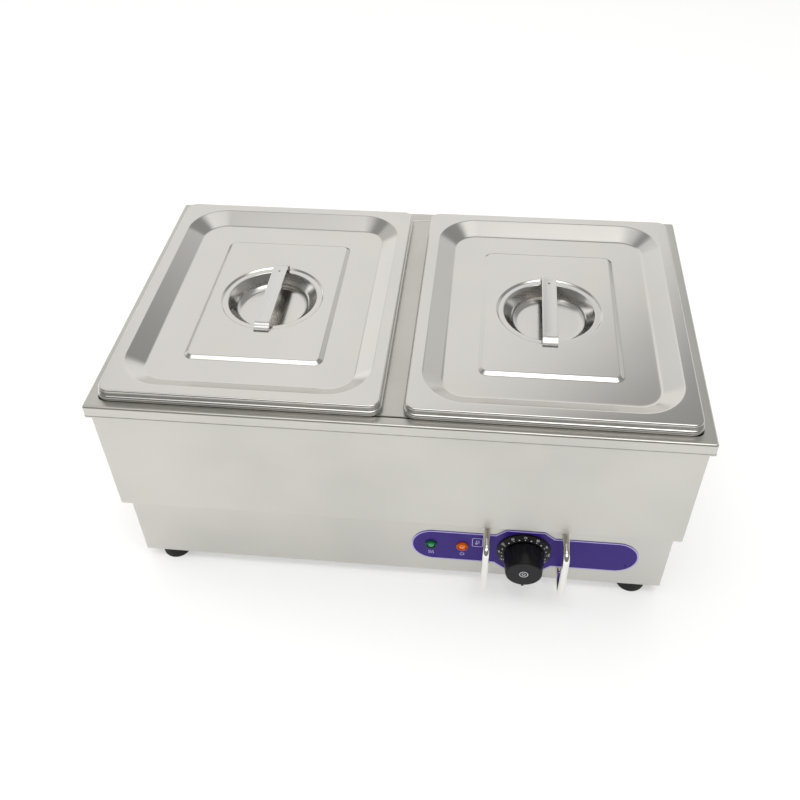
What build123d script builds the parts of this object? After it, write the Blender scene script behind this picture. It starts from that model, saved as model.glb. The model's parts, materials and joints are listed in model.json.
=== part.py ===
"""Countertop steam table: a stepped sheet-metal body with a heated water tank, two lift-out food
pans with lids, and a thermostat on the front. Millimetres, +Z up, -Y is the front, and the origin
is on the table under the middle of the unit."""

import os

from build123d import *

os.makedirs("parts", exist_ok=True)

# --- Driving dimensions -------------------------------------------------------------------

# Sheet metal
sheet = 0.8  # casing, deck and tank
seat_gap = 0.3  # between a lift-off piece and what it rests on
weld_gap = 0.4  # between two walls that stand side by side

# Food pans: the whole unit is laid out around them
pan_rim_width = 265.0
pan_rim_length = 326.0
pan_depth = 100.0  # rim top to the underside of the floor
pan_sheet = 0.7
pan_rim_flange = 12.0
pan_rim_drop = 5.1
pan_rim_corner = 12.0
pan_wall_corner = 30.0
pan_floor_corner = 24.0
pan_wall_lean = 9.0
pan_gap = 18.7  # between the two rims

# Lids
lid_side_inset = 1.75  # from the pan's rim edge to the lid's edge
lid_end_inset = 2.0
lid_skirt = 5.5
lid_sheet = 0.7
lid_corner = 10.0
lid_edge_radius = 1.5
lid_flange = 12.0
lid_recess_corner = 41.0
lid_recess_depth = 10.0
lid_slope = 18.0
plateau_width = 136.0
plateau_length = 200.0
plateau_height = 2.5
plateau_slope = 4.0
plateau_corner = 9.0
bowl_rim_radius = 53.0
bowl_radius = 46.0
bowl_floor_radius = 36.0
bowl_step = 1.5
bowl_depth = 15.0
bowl_side_grow = 0.3  # outside of the bowl's sides, past the inside

# Strap handle across each lid's bowl
strap_width = 15.0
strap_thickness = 1.5
strap_rise = 4.0
strap_foot = 3.0
strap_slope = 4.0

# Deck: the top plate, its apron and its opening
side_margin = 10.65  # pan rim to deck edge
front_margin = 9.7
rear_margin = 14.3
apron_height = 13.5
apron_hem = 2.6
bend_radius = 2.0
rim_overlap = 1.6  # how far a pan rim reaches over the deck
opening_flange = 12.0
opening_corner = 6.0

# Divider bar between the pans
divider_width = 35.0
divider_sheet = 1.0
divider_depth = 11.0
divider_end_gap = 1.2
rest_ledge = 8.0

# Water tank, upper body and lower base
tank_flange = 3.0
water_gap = 34.6  # tank floor to pan floor
tank_floor_gap = 10.0
apron_overhang = 4.1
body_flange = 24.0
step_bend = 1.2
step_side = 5.0
step_front = 10.0
base_height = 87.4
base_flange = 9.0
rivet_radius = 2.0
rivet_head_radius = 3.5
rivet_head = 1.2
rivet_across = 4
rivet_along = 3

# Feet and bottom plate
foot_height = 14.2
foot_top_radius = 15.4
foot_base_radius = 15.2
foot_side_inset = 28.0
foot_front_inset = 15.6
foot_bore_radius = 5.0
foot_bore_depth = 7.0
foot_edge = 1.5
screw_radius = 2.0
screw_head_radius = 3.8
screw_head = 2.4
screw_clearance = 0.1
screw_tail = 2.0  # thread left showing past a nut
nut_height = 3.2
nut_across = 7.0
plate_inset = 1.5
vent_length = 40.0
vent_width = 5.0
vent_columns = 5
vent_rows = 6
vent_pitch = 14.0

# Control panel
panel_drop = 0.7  # from the middle of the base's front down to the panel's centre line
overlay_length = 231.0
overlay_height = 46.0
overlay_thickness = 0.5
overlay_side_margin = 29.0
overlay_bulge_height = 64.0
overlay_bulge_top = 38.0
overlay_bulge_foot = 58.0
lamp_pitch = 32.2
lamp_to_dial = 63.0
lamp_raise = 1.2
lamp_barrel_radius = 5.0
lamp_bezel_radius = 6.2
lamp_bezel = 2.4
lamp_bezel_edge = 0.8
lamp_seat = 4.8  # depth of the lens's seat behind the bezel's face
lamp_lens_radius = 4.4
lamp_lens_height = 3.0
lamp_lens_edge = 2.7
lamp_body_length = 24.0
lamp_nut_height = 3.0
lamp_nut_across = 14.0

# Thermostat, dial and knob
dial_radius = 27.8
dial_inner_radius = 21.5
dial_edge = 1.6
dial_height = 4.5
dial_bore_radius = 7.0
dial_wall = 1.5
knob_gap = 0.6
knob_radius = 20.0
knob_face_radius = 18.2
knob_waist = 12.0
knob_reach = 29.5  # panel face to knob face
knob_edge = 1.2
knob_flutes = 12
flute_radius = 3.0
flute_depth = 0.9
pointer_radius = 1.6
pointer_length = 3.0
pointer_setback = 1.0  # from the knob's face to the nub's end
insert_radius = 5.2
insert_depth = 1.0
insert_ring_outer = 3.9
insert_ring_inner = 2.9
insert_ring_depth = 0.3
shaft_radius = 3.0
shaft_flat = 2.3
shaft_clearance = 0.05
shaft_in_knob = 16.0
shaft_in_body = 14.0
stat_width = 42.0
stat_height = 32.0
stat_depth = 28.0
stat_boss_radius = 5.5
stat_screw_pitch = 28.0
stat_screw_length = 12.0
stat_screw_head = 1.9
stat_corner = 3.0
shaft_end_gap = 1.0

# Knob guards
guard_rod_radius = 3.5
guard_pitch = 78.0
guard_reach = 31.0  # panel face to the rod's centre line
guard_low_gap = 12.7
guard_high_gap = 11.1
guard_bend = 7.0
guard_tail = 10.0
guard_nut_height = 5.0
guard_nut_across = 11.0

# Heating element in the tank
element_radius = 4.0
element_height = 20.0
element_bend = 16.0
element_leg_bend = 12.0
element_return = 41.6  # from the legs back to the loop's near end
element_side_gap = 40.0
element_front_gap = 50.0
element_leg_pitch = 60.0
element_tail = 30.0
gland_radius = 7.0
gland_head_radius = 10.0
gland_head = 5.0
gland_nut = 5.0
gland_spare = 2.0  # thread left showing below the nut
seal_thickness = 2.0
support_width = 16.0
support_sheet = 1.2

# Sensor bulb and capillary under the tank
bulb_radius = 3.0
bulb_length = 90.0
bulb_drop = 5.5
bulb_offset = 60.0  # from the dial's centre line to the bulb's end
clip_shares = (0.25, 0.75)
capillary_radius = 1.0
capillary_out = 20.0
capillary_rise_run = 14.0
capillary_bends = [8, 10, 14]
clip_width = 8.0
clip_wall = 1.0

# Supply end at the rear
gland_side_gap = 60.0
gland_height = 34.0
inlet_bore_radius = 4.5
inlet_hex_across = 24.0
inlet_hex = 5.0
inlet_neck_radius = 9.5
inlet_neck = 2.0
inlet_cap = 10.0  # hexagonal stretch of the clamping nut
inlet_dome = 11.0
inlet_dome_radius = 11.5
inlet_end_radius = 7.5
inlet_edge = 2.0
inlet_thread_radius = 8.0
inlet_thread = 10.0
inlet_nut_height = 4.0
stud_radius = 3.0
stud_length = 24.0
stud_chamfer = 0.6
stud_side_gap = 40.0
terminal_length = 60.0
terminal_width = 22.0
terminal_height = 20.0
terminal_corner = 2.0
terminal_ways = 5
terminal_hole_radius = 2.2
blade_width = 6.3
blade_thickness = 0.8
blade_length = 8.0
lead_radius = 1.3
lead_bend = 9.0
lead_run = 40.0
lead_height = 6.0  # above the bottom plate
lead_spread = 3.0

# --- Places worked out from the driving dimensions ----------------------------------------

deck_width = 2 * pan_rim_width + pan_gap + 2 * side_margin
deck_depth = pan_rim_length + front_margin + rear_margin
pan_x = (pan_rim_width + pan_gap) / 2
pan_y = (front_margin - rear_margin) / 2
pan_stand = seat_gap + pan_rim_drop  # deck top to pan rim top

base_bottom = foot_height + sheet
base_top = base_bottom + base_height
tank_bottom = base_top + tank_floor_gap
tank_floor = tank_bottom + sheet
deck_top = tank_floor + water_gap + pan_depth - pan_stand
rim_top = deck_top + pan_stand
lid_top = rim_top + seat_gap + lid_skirt

opening_width = 2 * pan_rim_width + pan_gap - 2 * rim_overlap
opening_length = pan_rim_length - 2 * rim_overlap
tank_width = opening_width + 2 * (sheet + weld_gap)
tank_length = opening_length + 2 * (sheet + weld_gap)
tank_corner = opening_corner + sheet + weld_gap

body_width = deck_width - 2 * apron_overhang
body_depth = deck_depth - 2 * apron_overhang
base_width = body_width - 2 * step_side
base_depth = body_depth - 2 * step_front
base_front = -base_depth / 2
base_back = base_depth / 2
panel_back = base_front + sheet

panel_z = base_bottom + base_height / 2 - panel_drop
overlay_x = base_width / 2 - overlay_side_margin - overlay_length / 2
dial_x = overlay_x
overlay_face = base_front - overlay_thickness
lamp_xs = {"heat": dial_x - lamp_to_dial - lamp_pitch, "power": dial_x - lamp_to_dial}
lamp_z = panel_z + lamp_raise
guard_xs = {"left": dial_x - guard_pitch / 2, "right": dial_x + guard_pitch / 2}
guard_low = base_bottom + guard_low_gap
guard_high = base_top - guard_high_gap
knob_face = base_front - knob_reach
dial_face = overlay_face - dial_height

element_z = tank_floor + element_height
element_right = tank_width / 2 - element_side_gap
element_front = pan_y - tank_length / 2 + element_front_gap
element_back = pan_y + tank_length / 2 - element_front_gap
element_legs = [pan_y - element_leg_pitch / 2, pan_y + element_leg_pitch / 2]

foot_x = base_width / 2 - foot_side_inset
foot_y = base_depth / 2 - foot_front_inset
feet = {
    "front_left": (-foot_x, -foot_y),
    "front_right": (foot_x, -foot_y),
    "rear_left": (-foot_x, foot_y),
    "rear_right": (foot_x, foot_y),
}
pans = {"left": -pan_x, "right": pan_x}

front_plane = Plane(origin=(0, base_front, 0), x_dir=(1, 0, 0), z_dir=(0, -1, 0))
back_plane = Plane(origin=(0, base_back, 0), x_dir=(-1, 0, 0), z_dir=(0, 1, 0))


def front_at(y):
    """A plane facing the front at this y, whose local x is X and local y is Z."""
    return Plane(origin=(0, y, 0), x_dir=(1, 0, 0), z_dir=(0, -1, 0))


def lamp_points():
    return [(x, lamp_z) for x in lamp_xs.values()]


def guard_points():
    return [(x, z) for x in guard_xs.values() for z in (guard_low, guard_high)]


def stat_screw_points():
    return [(dial_x - stat_screw_pitch / 2, panel_z), (dial_x + stat_screw_pitch / 2, panel_z)]


# --- Deck ---------------------------------------------------------------------------------

with BuildPart() as deck:
    with BuildSketch(Plane.XY.offset(deck_top - apron_height)):
        RectangleRounded(deck_width, deck_depth, bend_radius)
    extrude(amount=apron_height)
    fillet(deck.faces().sort_by(Axis.Z)[-1].edges(), bend_radius)
    # Hollow under the top plate, inside the apron
    with BuildSketch(Plane.XY.offset(deck_top - apron_height)):
        Rectangle(deck_width - 2 * sheet, deck_depth - 2 * sheet)
    extrude(amount=apron_height - sheet, mode=Mode.SUBTRACT)
    # Hem turned in along the apron's lower edge
    with BuildSketch(Plane.XY.offset(deck_top - apron_height)):
        Rectangle(deck_width - sheet, deck_depth - sheet)
        Rectangle(deck_width - 2 * apron_hem, deck_depth - 2 * apron_hem, mode=Mode.SUBTRACT)
    extrude(amount=sheet)
    # Opening with its turned-down flange
    with BuildSketch(Plane.XY.offset(deck_top - opening_flange)):
        with Locations((0, pan_y)):
            RectangleRounded(
                opening_width + 2 * sheet, opening_length + 2 * sheet, opening_corner + sheet
            )
    extrude(amount=opening_flange - sheet / 2)
    with BuildSketch(Plane.XY.offset(deck_top - opening_flange)):
        with Locations((0, pan_y)):
            RectangleRounded(opening_width, opening_length, opening_corner)
    extrude(amount=opening_flange, mode=Mode.SUBTRACT)
deck.part.label = "deck"
export_step(deck.part, "parts/deck.step")

# --- Divider bar and the two ledges it rests on -------------------------------------------

rest_top = deck_top - divider_depth
for end, side in (("front", -1), ("rear", 1)):
    wall_y = pan_y + side * opening_length / 2
    with BuildPart() as rest:
        with BuildSketch(Plane.XY.offset(rest_top - sheet)):
            with Locations((0, wall_y - side * rest_ledge / 2)):
                Rectangle(divider_width, rest_ledge)
        extrude(amount=sheet)
        with BuildSketch(Plane.XY.offset(rest_top - sheet)):
            with Locations((0, wall_y - side * sheet / 2)):
                Rectangle(divider_width, sheet)
        extrude(amount=divider_depth - sheet)
    rest.part.label = f"divider_rest_{end}"
    export_step(rest.part, f"parts/divider_rest_{end}.step")

with BuildPart() as divider_bar:
    divider_length = opening_length - 2 * divider_end_gap
    with BuildSketch(Plane.XY.offset(rest_top)):
        with Locations((0, pan_y)):
            Rectangle(divider_width, divider_length)
    extrude(amount=divider_depth)
    fillet(
        divider_bar.faces().sort_by(Axis.Z)[-1].edges().filter_by(Axis.Y), divider_sheet
    )
    with BuildSketch(Plane.XY.offset(rest_top)):
        with Locations((0, pan_y)):
            Rectangle(divider_width - 2 * divider_sheet, divider_length)
    extrude(amount=divider_depth - divider_sheet, mode=Mode.SUBTRACT)
divider_bar.part.label = "divider_bar"
export_step(divider_bar.part, "parts/divider_bar.step")

# --- Water tank ---------------------------------------------------------------------------

with BuildPart() as water_tank:
    tank_height = deck_top - sheet - tank_bottom
    with BuildSketch(Plane.XY.offset(tank_bottom)):
        with Locations((0, pan_y)):
            RectangleRounded(tank_width + 2 * sheet, tank_length + 2 * sheet, tank_corner + sheet)
    extrude(amount=tank_height)
    with BuildSketch(Plane.XY.offset(deck_top - 2 * sheet)):
        with Locations((0, pan_y)):
            RectangleRounded(
                tank_width + 2 * tank_flange, tank_length + 2 * tank_flange, tank_corner
            )
    extrude(amount=sheet)
    with BuildSketch(Plane.XY.offset(tank_floor)):
        with Locations((0, pan_y)):
            RectangleRounded(tank_width, tank_length, tank_corner)
    extrude(amount=tank_height, mode=Mode.SUBTRACT)
    with BuildSketch(Plane.XY.offset(tank_floor)):
        with Locations(*[(element_right, y) for y in element_legs]):
            Circle(gland_radius + screw_clearance)
    extrude(amount=-sheet, mode=Mode.SUBTRACT)
water_tank.part.label = "water_tank"
export_step(water_tank.part, "parts/water_tank.step")

# --- Upper body ---------------------------------------------------------------------------

rivet_x = [
    (i - (rivet_across - 1) / 2) * (base_width - 2 * base_flange) / rivet_across
    for i in range(rivet_across)
]
rivet_y = [
    (i - (rivet_along - 1) / 2) * (base_depth - 2 * base_flange) / rivet_along
    for i in range(rivet_along)
]
rivet_line_x = base_width / 2 - sheet - base_flange / 2
rivet_line_y = base_depth / 2 - sheet - base_flange / 2
rivet_points = [(x, side * rivet_line_y) for x in rivet_x for side in (-1, 1)]
rivet_points += [(side * rivet_line_x, y) for y in rivet_y for side in (-1, 1)]

with BuildPart() as upper_body:
    with BuildSketch(Plane.XY.offset(base_top)):
        RectangleRounded(body_width, body_depth, bend_radius)
    extrude(amount=deck_top - sheet - base_top)
    fillet(upper_body.faces().sort_by(Axis.Z)[0].edges(), step_bend)
    with BuildSketch(Plane.XY.offset(base_top + sheet)):
        Rectangle(body_width - 2 * sheet, body_depth - 2 * sheet)
    extrude(amount=deck_top - base_top, mode=Mode.SUBTRACT)
    with BuildSketch(Plane.XY.offset(base_top)):
        Rectangle(body_width - 2 * body_flange, body_depth - 2 * (body_flange + step_front))
    extrude(amount=sheet, mode=Mode.SUBTRACT)
    with BuildSketch(Plane.XY.offset(base_top)):
        with Locations(*rivet_points):
            Circle(rivet_radius + screw_clearance)
    extrude(amount=sheet, mode=Mode.SUBTRACT)
upper_body.part.label = "upper_body"
export_step(upper_body.part, "parts/upper_body.step")

# --- Lower base ---------------------------------------------------------------------------

with BuildPart() as lower_base:
    with BuildSketch(Plane.XY.offset(base_bottom)):
        RectangleRounded(base_width, base_depth, bend_radius)
    extrude(amount=base_height)
    with BuildSketch(Plane.XY.offset(base_bottom + sheet)):
        Rectangle(base_width - 2 * sheet, base_depth - 2 * sheet)
    extrude(amount=base_height - 2 * sheet, mode=Mode.SUBTRACT)
    with BuildSketch(Plane.XY.offset(base_bottom)):
        Rectangle(
            base_width - 2 * (sheet + base_flange), base_depth - 2 * (sheet + base_flange)
        )
    extrude(amount=base_height, mode=Mode.SUBTRACT)
    with BuildSketch(Plane.XY.offset(base_bottom)):
        with Locations(*rivet_points):
            Circle(screw_radius + screw_clearance)
    extrude(amount=base_height, mode=Mode.SUBTRACT)
    # Holes in the front for the lamps, the thermostat and the knob guards
    with BuildSketch(front_plane):
        with Locations(*lamp_points()):
            Circle(lamp_barrel_radius + screw_clearance)
        with Locations((dial_x, panel_z)):
            Circle(stat_boss_radius + screw_clearance)
        with Locations(*stat_screw_points()):
            Circle(screw_radius + screw_clearance)
        with Locations(*guard_points()):
            Circle(guard_rod_radius + screw_clearance)
    extrude(amount=-sheet, mode=Mode.SUBTRACT)
    # Holes in the back for the cable inlet and the earth stud
    inlet_x = base_width / 2 - gland_side_gap
    inlet_z = base_bottom + gland_height
    stud_x = inlet_x - stud_side_gap
    with BuildSketch(back_plane):
        with Locations((-inlet_x, inlet_z)):
            Circle(inlet_thread_radius + screw_clearance)
        with Locations((-stud_x, inlet_z)):
            Circle(stud_radius + screw_clearance)
    extrude(amount=-sheet, mode=Mode.SUBTRACT)
lower_base.part.label = "lower_base"
export_step(lower_base.part, "parts/lower_base.step")

with BuildPart() as base_rivets:
    with BuildSketch(Plane.XY.offset(base_top - sheet)):
        with Locations(*rivet_points):
            Circle(rivet_radius)
    extrude(amount=2 * sheet)
    with BuildSketch(Plane.XY.offset(base_top + sheet)):
        with Locations(*rivet_points):
            Circle(rivet_head_radius)
    extrude(amount=rivet_head)
    with BuildSketch(Plane.XY.offset(base_top - sheet)):
        with Locations(*rivet_points):
            Circle(rivet_head_radius)
    extrude(amount=-rivet_head)
base_rivets.part.label = "base_rivets"
export_step(base_rivets.part, "parts/base_rivets.step")

# --- Bottom plate, its screws and the feet ------------------------------------------------

with BuildPart() as bottom_plate:
    with BuildSketch(Plane.XY.offset(foot_height)):
        RectangleRounded(
            base_width - 2 * plate_inset, base_depth - 2 * plate_inset, bend_radius
        )
        with GridLocations(vent_length + vent_pitch, vent_pitch, vent_columns, vent_rows):
            SlotOverall(vent_length, vent_width, mode=Mode.SUBTRACT)
        with Locations(*rivet_points, *feet.values()):
            Circle(screw_radius + screw_clearance, mode=Mode.SUBTRACT)
    extrude(amount=sheet)
bottom_plate.part.label = "bottom_plate"
export_step(bottom_plate.part, "parts/bottom_plate.step")

with BuildPart() as bottom_screws:
    with BuildSketch(Plane.XY.offset(foot_height)):
        with Locations(*rivet_points):
            Circle(screw_head_radius)
    extrude(amount=-screw_head)
    with BuildSketch(Plane.XY.offset(foot_height)):
        with Locations(*rivet_points):
            Circle(screw_radius)
    extrude(amount=2 * sheet + nut_height)
    fillet(bottom_screws.faces().group_by(Axis.Z)[0].edges(), screw_head / 2)
bottom_screws.part.label = "bottom_screws"
export_step(bottom_screws.part, "parts/bottom_screws.step")

for corner, (x, y) in feet.items():
    with BuildPart() as foot:
        with BuildSketch(Plane.XY):
            with Locations((x, y)):
                Circle(foot_base_radius)
        with BuildSketch(Plane.XY.offset(foot_height)):
            with Locations((x, y)):
                Circle(foot_top_radius)
        loft()
        fillet(foot.faces().sort_by(Axis.Z)[0].edges(), foot_edge)
        with Locations((x, y, 0)):
            Cylinder(
                foot_bore_radius,
                foot_bore_depth,
                align=(Align.CENTER, Align.CENTER, Align.MIN),
                mode=Mode.SUBTRACT,
            )
            Cylinder(
                screw_radius + screw_clearance,
                foot_height,
                align=(Align.CENTER, Align.CENTER, Align.MIN),
                mode=Mode.SUBTRACT,
            )
    foot.part.label = f"foot_{corner}"
    export_step(foot.part, f"parts/foot_{corner}.step")

with BuildPart() as foot_screws:
    with BuildSketch(Plane.XY.offset(foot_bore_depth)):
        with Locations(*feet.values()):
            Circle(screw_head_radius)
    extrude(amount=-screw_head)
    with BuildSketch(Plane.XY.offset(foot_bore_depth)):
        with Locations(*feet.values()):
            Circle(screw_radius)
    extrude(amount=foot_height - foot_bore_depth + sheet + nut_height + screw_tail)
foot_screws.part.label = "foot_screws"
export_step(foot_screws.part, "parts/foot_screws.step")

with BuildPart() as foot_nuts:
    with BuildSketch(Plane.XY.offset(base_bottom)):
        with Locations(*feet.values()):
            RegularPolygon(nut_across / 2, 6, major_radius=False)
            Circle(screw_radius + screw_clearance / 2, mode=Mode.SUBTRACT)
    extrude(amount=nut_height)
foot_nuts.part.label = "foot_nuts"
export_step(foot_nuts.part, "parts/foot_nuts.step")

# --- Control panel overlay ----------------------------------------------------------------

with BuildPart() as panel_overlay:
    with BuildSketch(front_plane):
        with Locations((overlay_x, panel_z)):
            SlotOverall(overlay_length, overlay_height)
            Polygon(
                (-overlay_bulge_foot / 2, overlay_height / 2),
                (-overlay_bulge_top / 2, overlay_bulge_height / 2),
                (overlay_bulge_top / 2, overlay_bulge_height / 2),
                (overlay_bulge_foot / 2, overlay_height / 2),
                (overlay_bulge_foot / 2, -overlay_height / 2),
                (overlay_bulge_top / 2, -overlay_bulge_height / 2),
                (-overlay_bulge_top / 2, -overlay_bulge_height / 2),
                (-overlay_bulge_foot / 2, -overlay_height / 2),
                align=None,
            )
        with Locations(*lamp_points()):
            Circle(lamp_barrel_radius + screw_clearance, mode=Mode.SUBTRACT)
        with Locations((dial_x, panel_z)):
            Circle(stat_boss_radius + screw_clearance, mode=Mode.SUBTRACT)
        with Locations(*stat_screw_points()):
            Circle(screw_radius + screw_clearance, mode=Mode.SUBTRACT)
        with Locations(*guard_points()):
            Circle(guard_rod_radius + screw_clearance, mode=Mode.SUBTRACT)
    extrude(amount=overlay_thickness)
panel_overlay.part.label = "panel_overlay"
export_step(panel_overlay.part, "parts/panel_overlay.step")

# --- Indicator lamps ----------------------------------------------------------------------

for lamp, x in lamp_xs.items():
    with BuildPart() as lamp_body:
        with BuildSketch(front_at(overlay_face)):
            with Locations((x, lamp_z)):
                Circle(lamp_bezel_radius)
        extrude(amount=lamp_bezel)
        chamfer(lamp_body.faces().sort_by(Axis.Y)[0].edges(), lamp_bezel_edge)
        with BuildSketch(front_at(overlay_face)):
            with Locations((x, lamp_z)):
                Circle(lamp_barrel_radius)
        extrude(amount=-lamp_body_length)
        with BuildSketch(front_at(overlay_face - lamp_bezel)):
            with Locations((x, lamp_z)):
                Circle(lamp_lens_radius)
        extrude(amount=-lamp_seat, mode=Mode.SUBTRACT)
    lamp_body.part.label = f"{lamp}_lamp_body"
    export_step(lamp_body.part, f"parts/{lamp}_lamp_body.step")

    with BuildPart() as lamp_lens:
        with BuildSketch(front_at(overlay_face - lamp_bezel + lamp_seat)):
            with Locations((x, lamp_z)):
                Circle(lamp_lens_radius)
        extrude(amount=lamp_seat - lamp_bezel + lamp_lens_height)
        fillet(lamp_lens.faces().sort_by(Axis.Y)[0].edges(), lamp_lens_edge)
    lamp_lens.part.label = f"{lamp}_lamp_lens"
    export_step(lamp_lens.part, f"parts/{lamp}_lamp_lens.step")

    with BuildPart() as lamp_nut:
        with BuildSketch(front_at(panel_back)):
            with Locations((x, lamp_z)):
                RegularPolygon(lamp_nut_across / 2, 6, major_radius=False)
                Circle(lamp_barrel_radius + screw_clearance / 2, mode=Mode.SUBTRACT)
        extrude(amount=-lamp_nut_height)
    lamp_nut.part.label = f"{lamp}_lamp_nut"
    export_step(lamp_nut.part, f"parts/{lamp}_lamp_nut.step")

# --- Dial, thermostat and knob ------------------------------------------------------------

stat_face = panel_back  # the thermostat's mounting face lies on the back of the front panel
screw_seat = overlay_face - dial_edge

with BuildPart() as dial_plate:
    with BuildSketch(front_at(overlay_face)):
        with Locations((dial_x, panel_z)):
            Circle(dial_radius)
    extrude(amount=dial_edge)
    with BuildSketch(front_at(overlay_face - dial_edge)):
        with Locations((dial_x, panel_z)):
            Circle(dial_radius)
    with BuildSketch(front_at(dial_face)):
        with Locations((dial_x, panel_z)):
            Circle(dial_inner_radius)
    loft()
    # Well in the middle, which the screw heads and the thermostat's boss stand in
    with BuildSketch(front_at(screw_seat)):
        with Locations((dial_x, panel_z)):
            Circle(dial_inner_radius - dial_wall)
    extrude(amount=dial_height, mode=Mode.SUBTRACT)
    with BuildSketch(front_at(overlay_face)):
        with Locations((dial_x, panel_z)):
            Circle(dial_bore_radius)
        with Locations(*stat_screw_points()):
            Circle(screw_radius + screw_clearance)
    extrude(amount=dial_height, mode=Mode.SUBTRACT)
dial_plate.part.label = "dial_plate"
export_step(dial_plate.part, "parts/dial_plate.step")

with BuildPart() as thermostat_body:
    with BuildSketch(front_at(stat_face)):
        with Locations((dial_x, panel_z)):
            Rectangle(stat_width, stat_height)
    extrude(amount=-stat_depth)
    fillet(thermostat_body.edges().filter_by(Axis.Y), stat_corner)
    with BuildSketch(front_at(stat_face)):
        with Locations((dial_x, panel_z)):
            Circle(stat_boss_radius)
    extrude(amount=sheet + overlay_thickness + dial_edge)
    with BuildSketch(front_at(overlay_face - dial_edge)):
        with Locations((dial_x, panel_z)):
            Circle(shaft_radius + shaft_clearance)
    extrude(amount=-(shaft_in_body + sheet + overlay_thickness + dial_edge), mode=Mode.SUBTRACT)
    with BuildSketch(front_at(stat_face)):
        with Locations(*stat_screw_points()):
            Circle(screw_radius + screw_clearance)
    extrude(amount=-shaft_in_body, mode=Mode.SUBTRACT)
    # Two blade terminals at the back
    with BuildSketch(front_at(stat_face + stat_depth)):
        with Locations((dial_x, panel_z)):
            with GridLocations(stat_width / 2, 1, 2, 1):
                Rectangle(blade_width, blade_thickness)
    extrude(amount=-blade_length)
thermostat_body.part.label = "thermostat_body"
export_step(thermostat_body.part, "parts/thermostat_body.step")

with BuildPart() as thermostat_screws:
    with BuildSketch(front_at(screw_seat)):
        with Locations(*stat_screw_points()):
            Circle(screw_head_radius)
    extrude(amount=stat_screw_head)
    with BuildSketch(front_at(screw_seat)):
        with Locations(*stat_screw_points()):
            Circle(screw_radius)
    extrude(amount=-stat_screw_length)
thermostat_screws.part.label = "thermostat_screws"
export_step(thermostat_screws.part, "parts/thermostat_screws.step")

knob_back = dial_face - knob_gap
shaft_end = knob_back - shaft_in_knob
shaft_back = stat_face + shaft_in_body - shaft_end_gap

with BuildPart() as thermostat_shaft:
    with BuildSketch(front_at(shaft_back)):
        with Locations((dial_x, panel_z)):
            Circle(shaft_radius)
    extrude(amount=shaft_back - shaft_end)
    # D flat along the stretch inside the knob
    with BuildSketch(front_at(knob_back)):
        with Locations((dial_x, panel_z + shaft_flat + shaft_radius)):
            Rectangle(4 * shaft_radius, 2 * shaft_radius)
    extrude(amount=shaft_in_knob, mode=Mode.SUBTRACT)
thermostat_shaft.part.label = "thermostat_shaft"
export_step(thermostat_shaft.part, "parts/thermostat_shaft.step")

with BuildPart() as knob:
    with BuildSketch(front_at(knob_back)):
        with Locations((dial_x, panel_z)):
            Circle(knob_radius)
    extrude(amount=knob_waist)
    with BuildSketch(front_at(knob_back - knob_waist)):
        with Locations((dial_x, panel_z)):
            Circle(knob_radius)
    with BuildSketch(front_at(knob_face)):
        with Locations((dial_x, panel_z)):
            Circle(knob_face_radius)
    loft()
    fillet(knob.faces().sort_by(Axis.Y)[0].edges(), knob_edge)
    # Finger flutes round the rim, with one land at the pointer
    flute_centre = knob_radius + flute_radius - flute_depth
    with BuildSketch(front_at(knob_back)):
        with Locations((dial_x, panel_z)):
            with PolarLocations(flute_centre, knob_flutes, 180 / knob_flutes):
                Circle(flute_radius)
    extrude(amount=knob_reach, mode=Mode.SUBTRACT)
    # Pointer nub at the lower edge
    pointer_z = panel_z - knob_face_radius
    with BuildSketch(front_at(knob_face + pointer_setback + pointer_length)):
        with Locations((dial_x, pointer_z)):
            Circle(pointer_radius)
    extrude(amount=pointer_length)
    # Recess for the insert, and the D-shaped bore
    with BuildSketch(front_at(knob_face)):
        with Locations((dial_x, panel_z)):
            Circle(insert_radius + shaft_clearance)
    extrude(amount=-insert_depth, mode=Mode.SUBTRACT)
    with BuildSketch(front_at(knob_back)):
        with Locations((dial_x, panel_z)):
            Circle(shaft_radius + shaft_clearance)
        with Locations((dial_x, panel_z + shaft_flat + shaft_clearance + shaft_radius)):
            Rectangle(4 * shaft_radius, 2 * shaft_radius, mode=Mode.SUBTRACT)
    extrude(amount=shaft_in_knob + shaft_clearance, mode=Mode.SUBTRACT)
knob.part.label = "knob"
export_step(knob.part, "parts/knob.step")

with BuildPart() as knob_insert:
    with BuildSketch(front_at(knob_face + insert_depth)):
        with Locations((dial_x, panel_z)):
            Circle(insert_radius)
    extrude(amount=insert_depth)
    with BuildSketch(front_at(knob_face)):
        with Locations((dial_x, panel_z)):
            Circle(insert_ring_outer)
            Circle(insert_ring_inner, mode=Mode.SUBTRACT)
    extrude(amount=-insert_ring_depth, mode=Mode.SUBTRACT)
knob_insert.part.label = "knob_insert"
export_step(knob_insert.part, "parts/knob_insert.step")

# --- Knob guards --------------------------------------------------------------------------

for side, x in guard_xs.items():
    tail_y = panel_back + guard_tail
    rod_y = base_front - guard_reach
    with BuildPart() as guard:
        with BuildLine() as rod_path:
            FilletPolyline(
                (x, tail_y, guard_high),
                (x, rod_y, guard_high),
                (x, rod_y, guard_low),
                (x, tail_y, guard_low),
                radius=guard_bend,
            )
        with BuildSketch(Plane(origin=rod_path.line @ 0, z_dir=rod_path.line % 0)):
            Circle(guard_rod_radius)
        sweep()
    guard.part.label = f"knob_guard_{side}"
    export_step(guard.part, f"parts/knob_guard_{side}.step")

with BuildPart() as guard_nuts:
    with BuildSketch(front_at(panel_back)):
        with Locations(*guard_points()):
            RegularPolygon(guard_nut_across / 2, 6, major_radius=False)
            Circle(guard_rod_radius + screw_clearance / 2, mode=Mode.SUBTRACT)
    extrude(amount=-guard_nut_height)
guard_nuts.part.label = "guard_nuts"
export_step(guard_nuts.part, "parts/guard_nuts.step")

# --- Food pans ----------------------------------------------------------------------------

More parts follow.
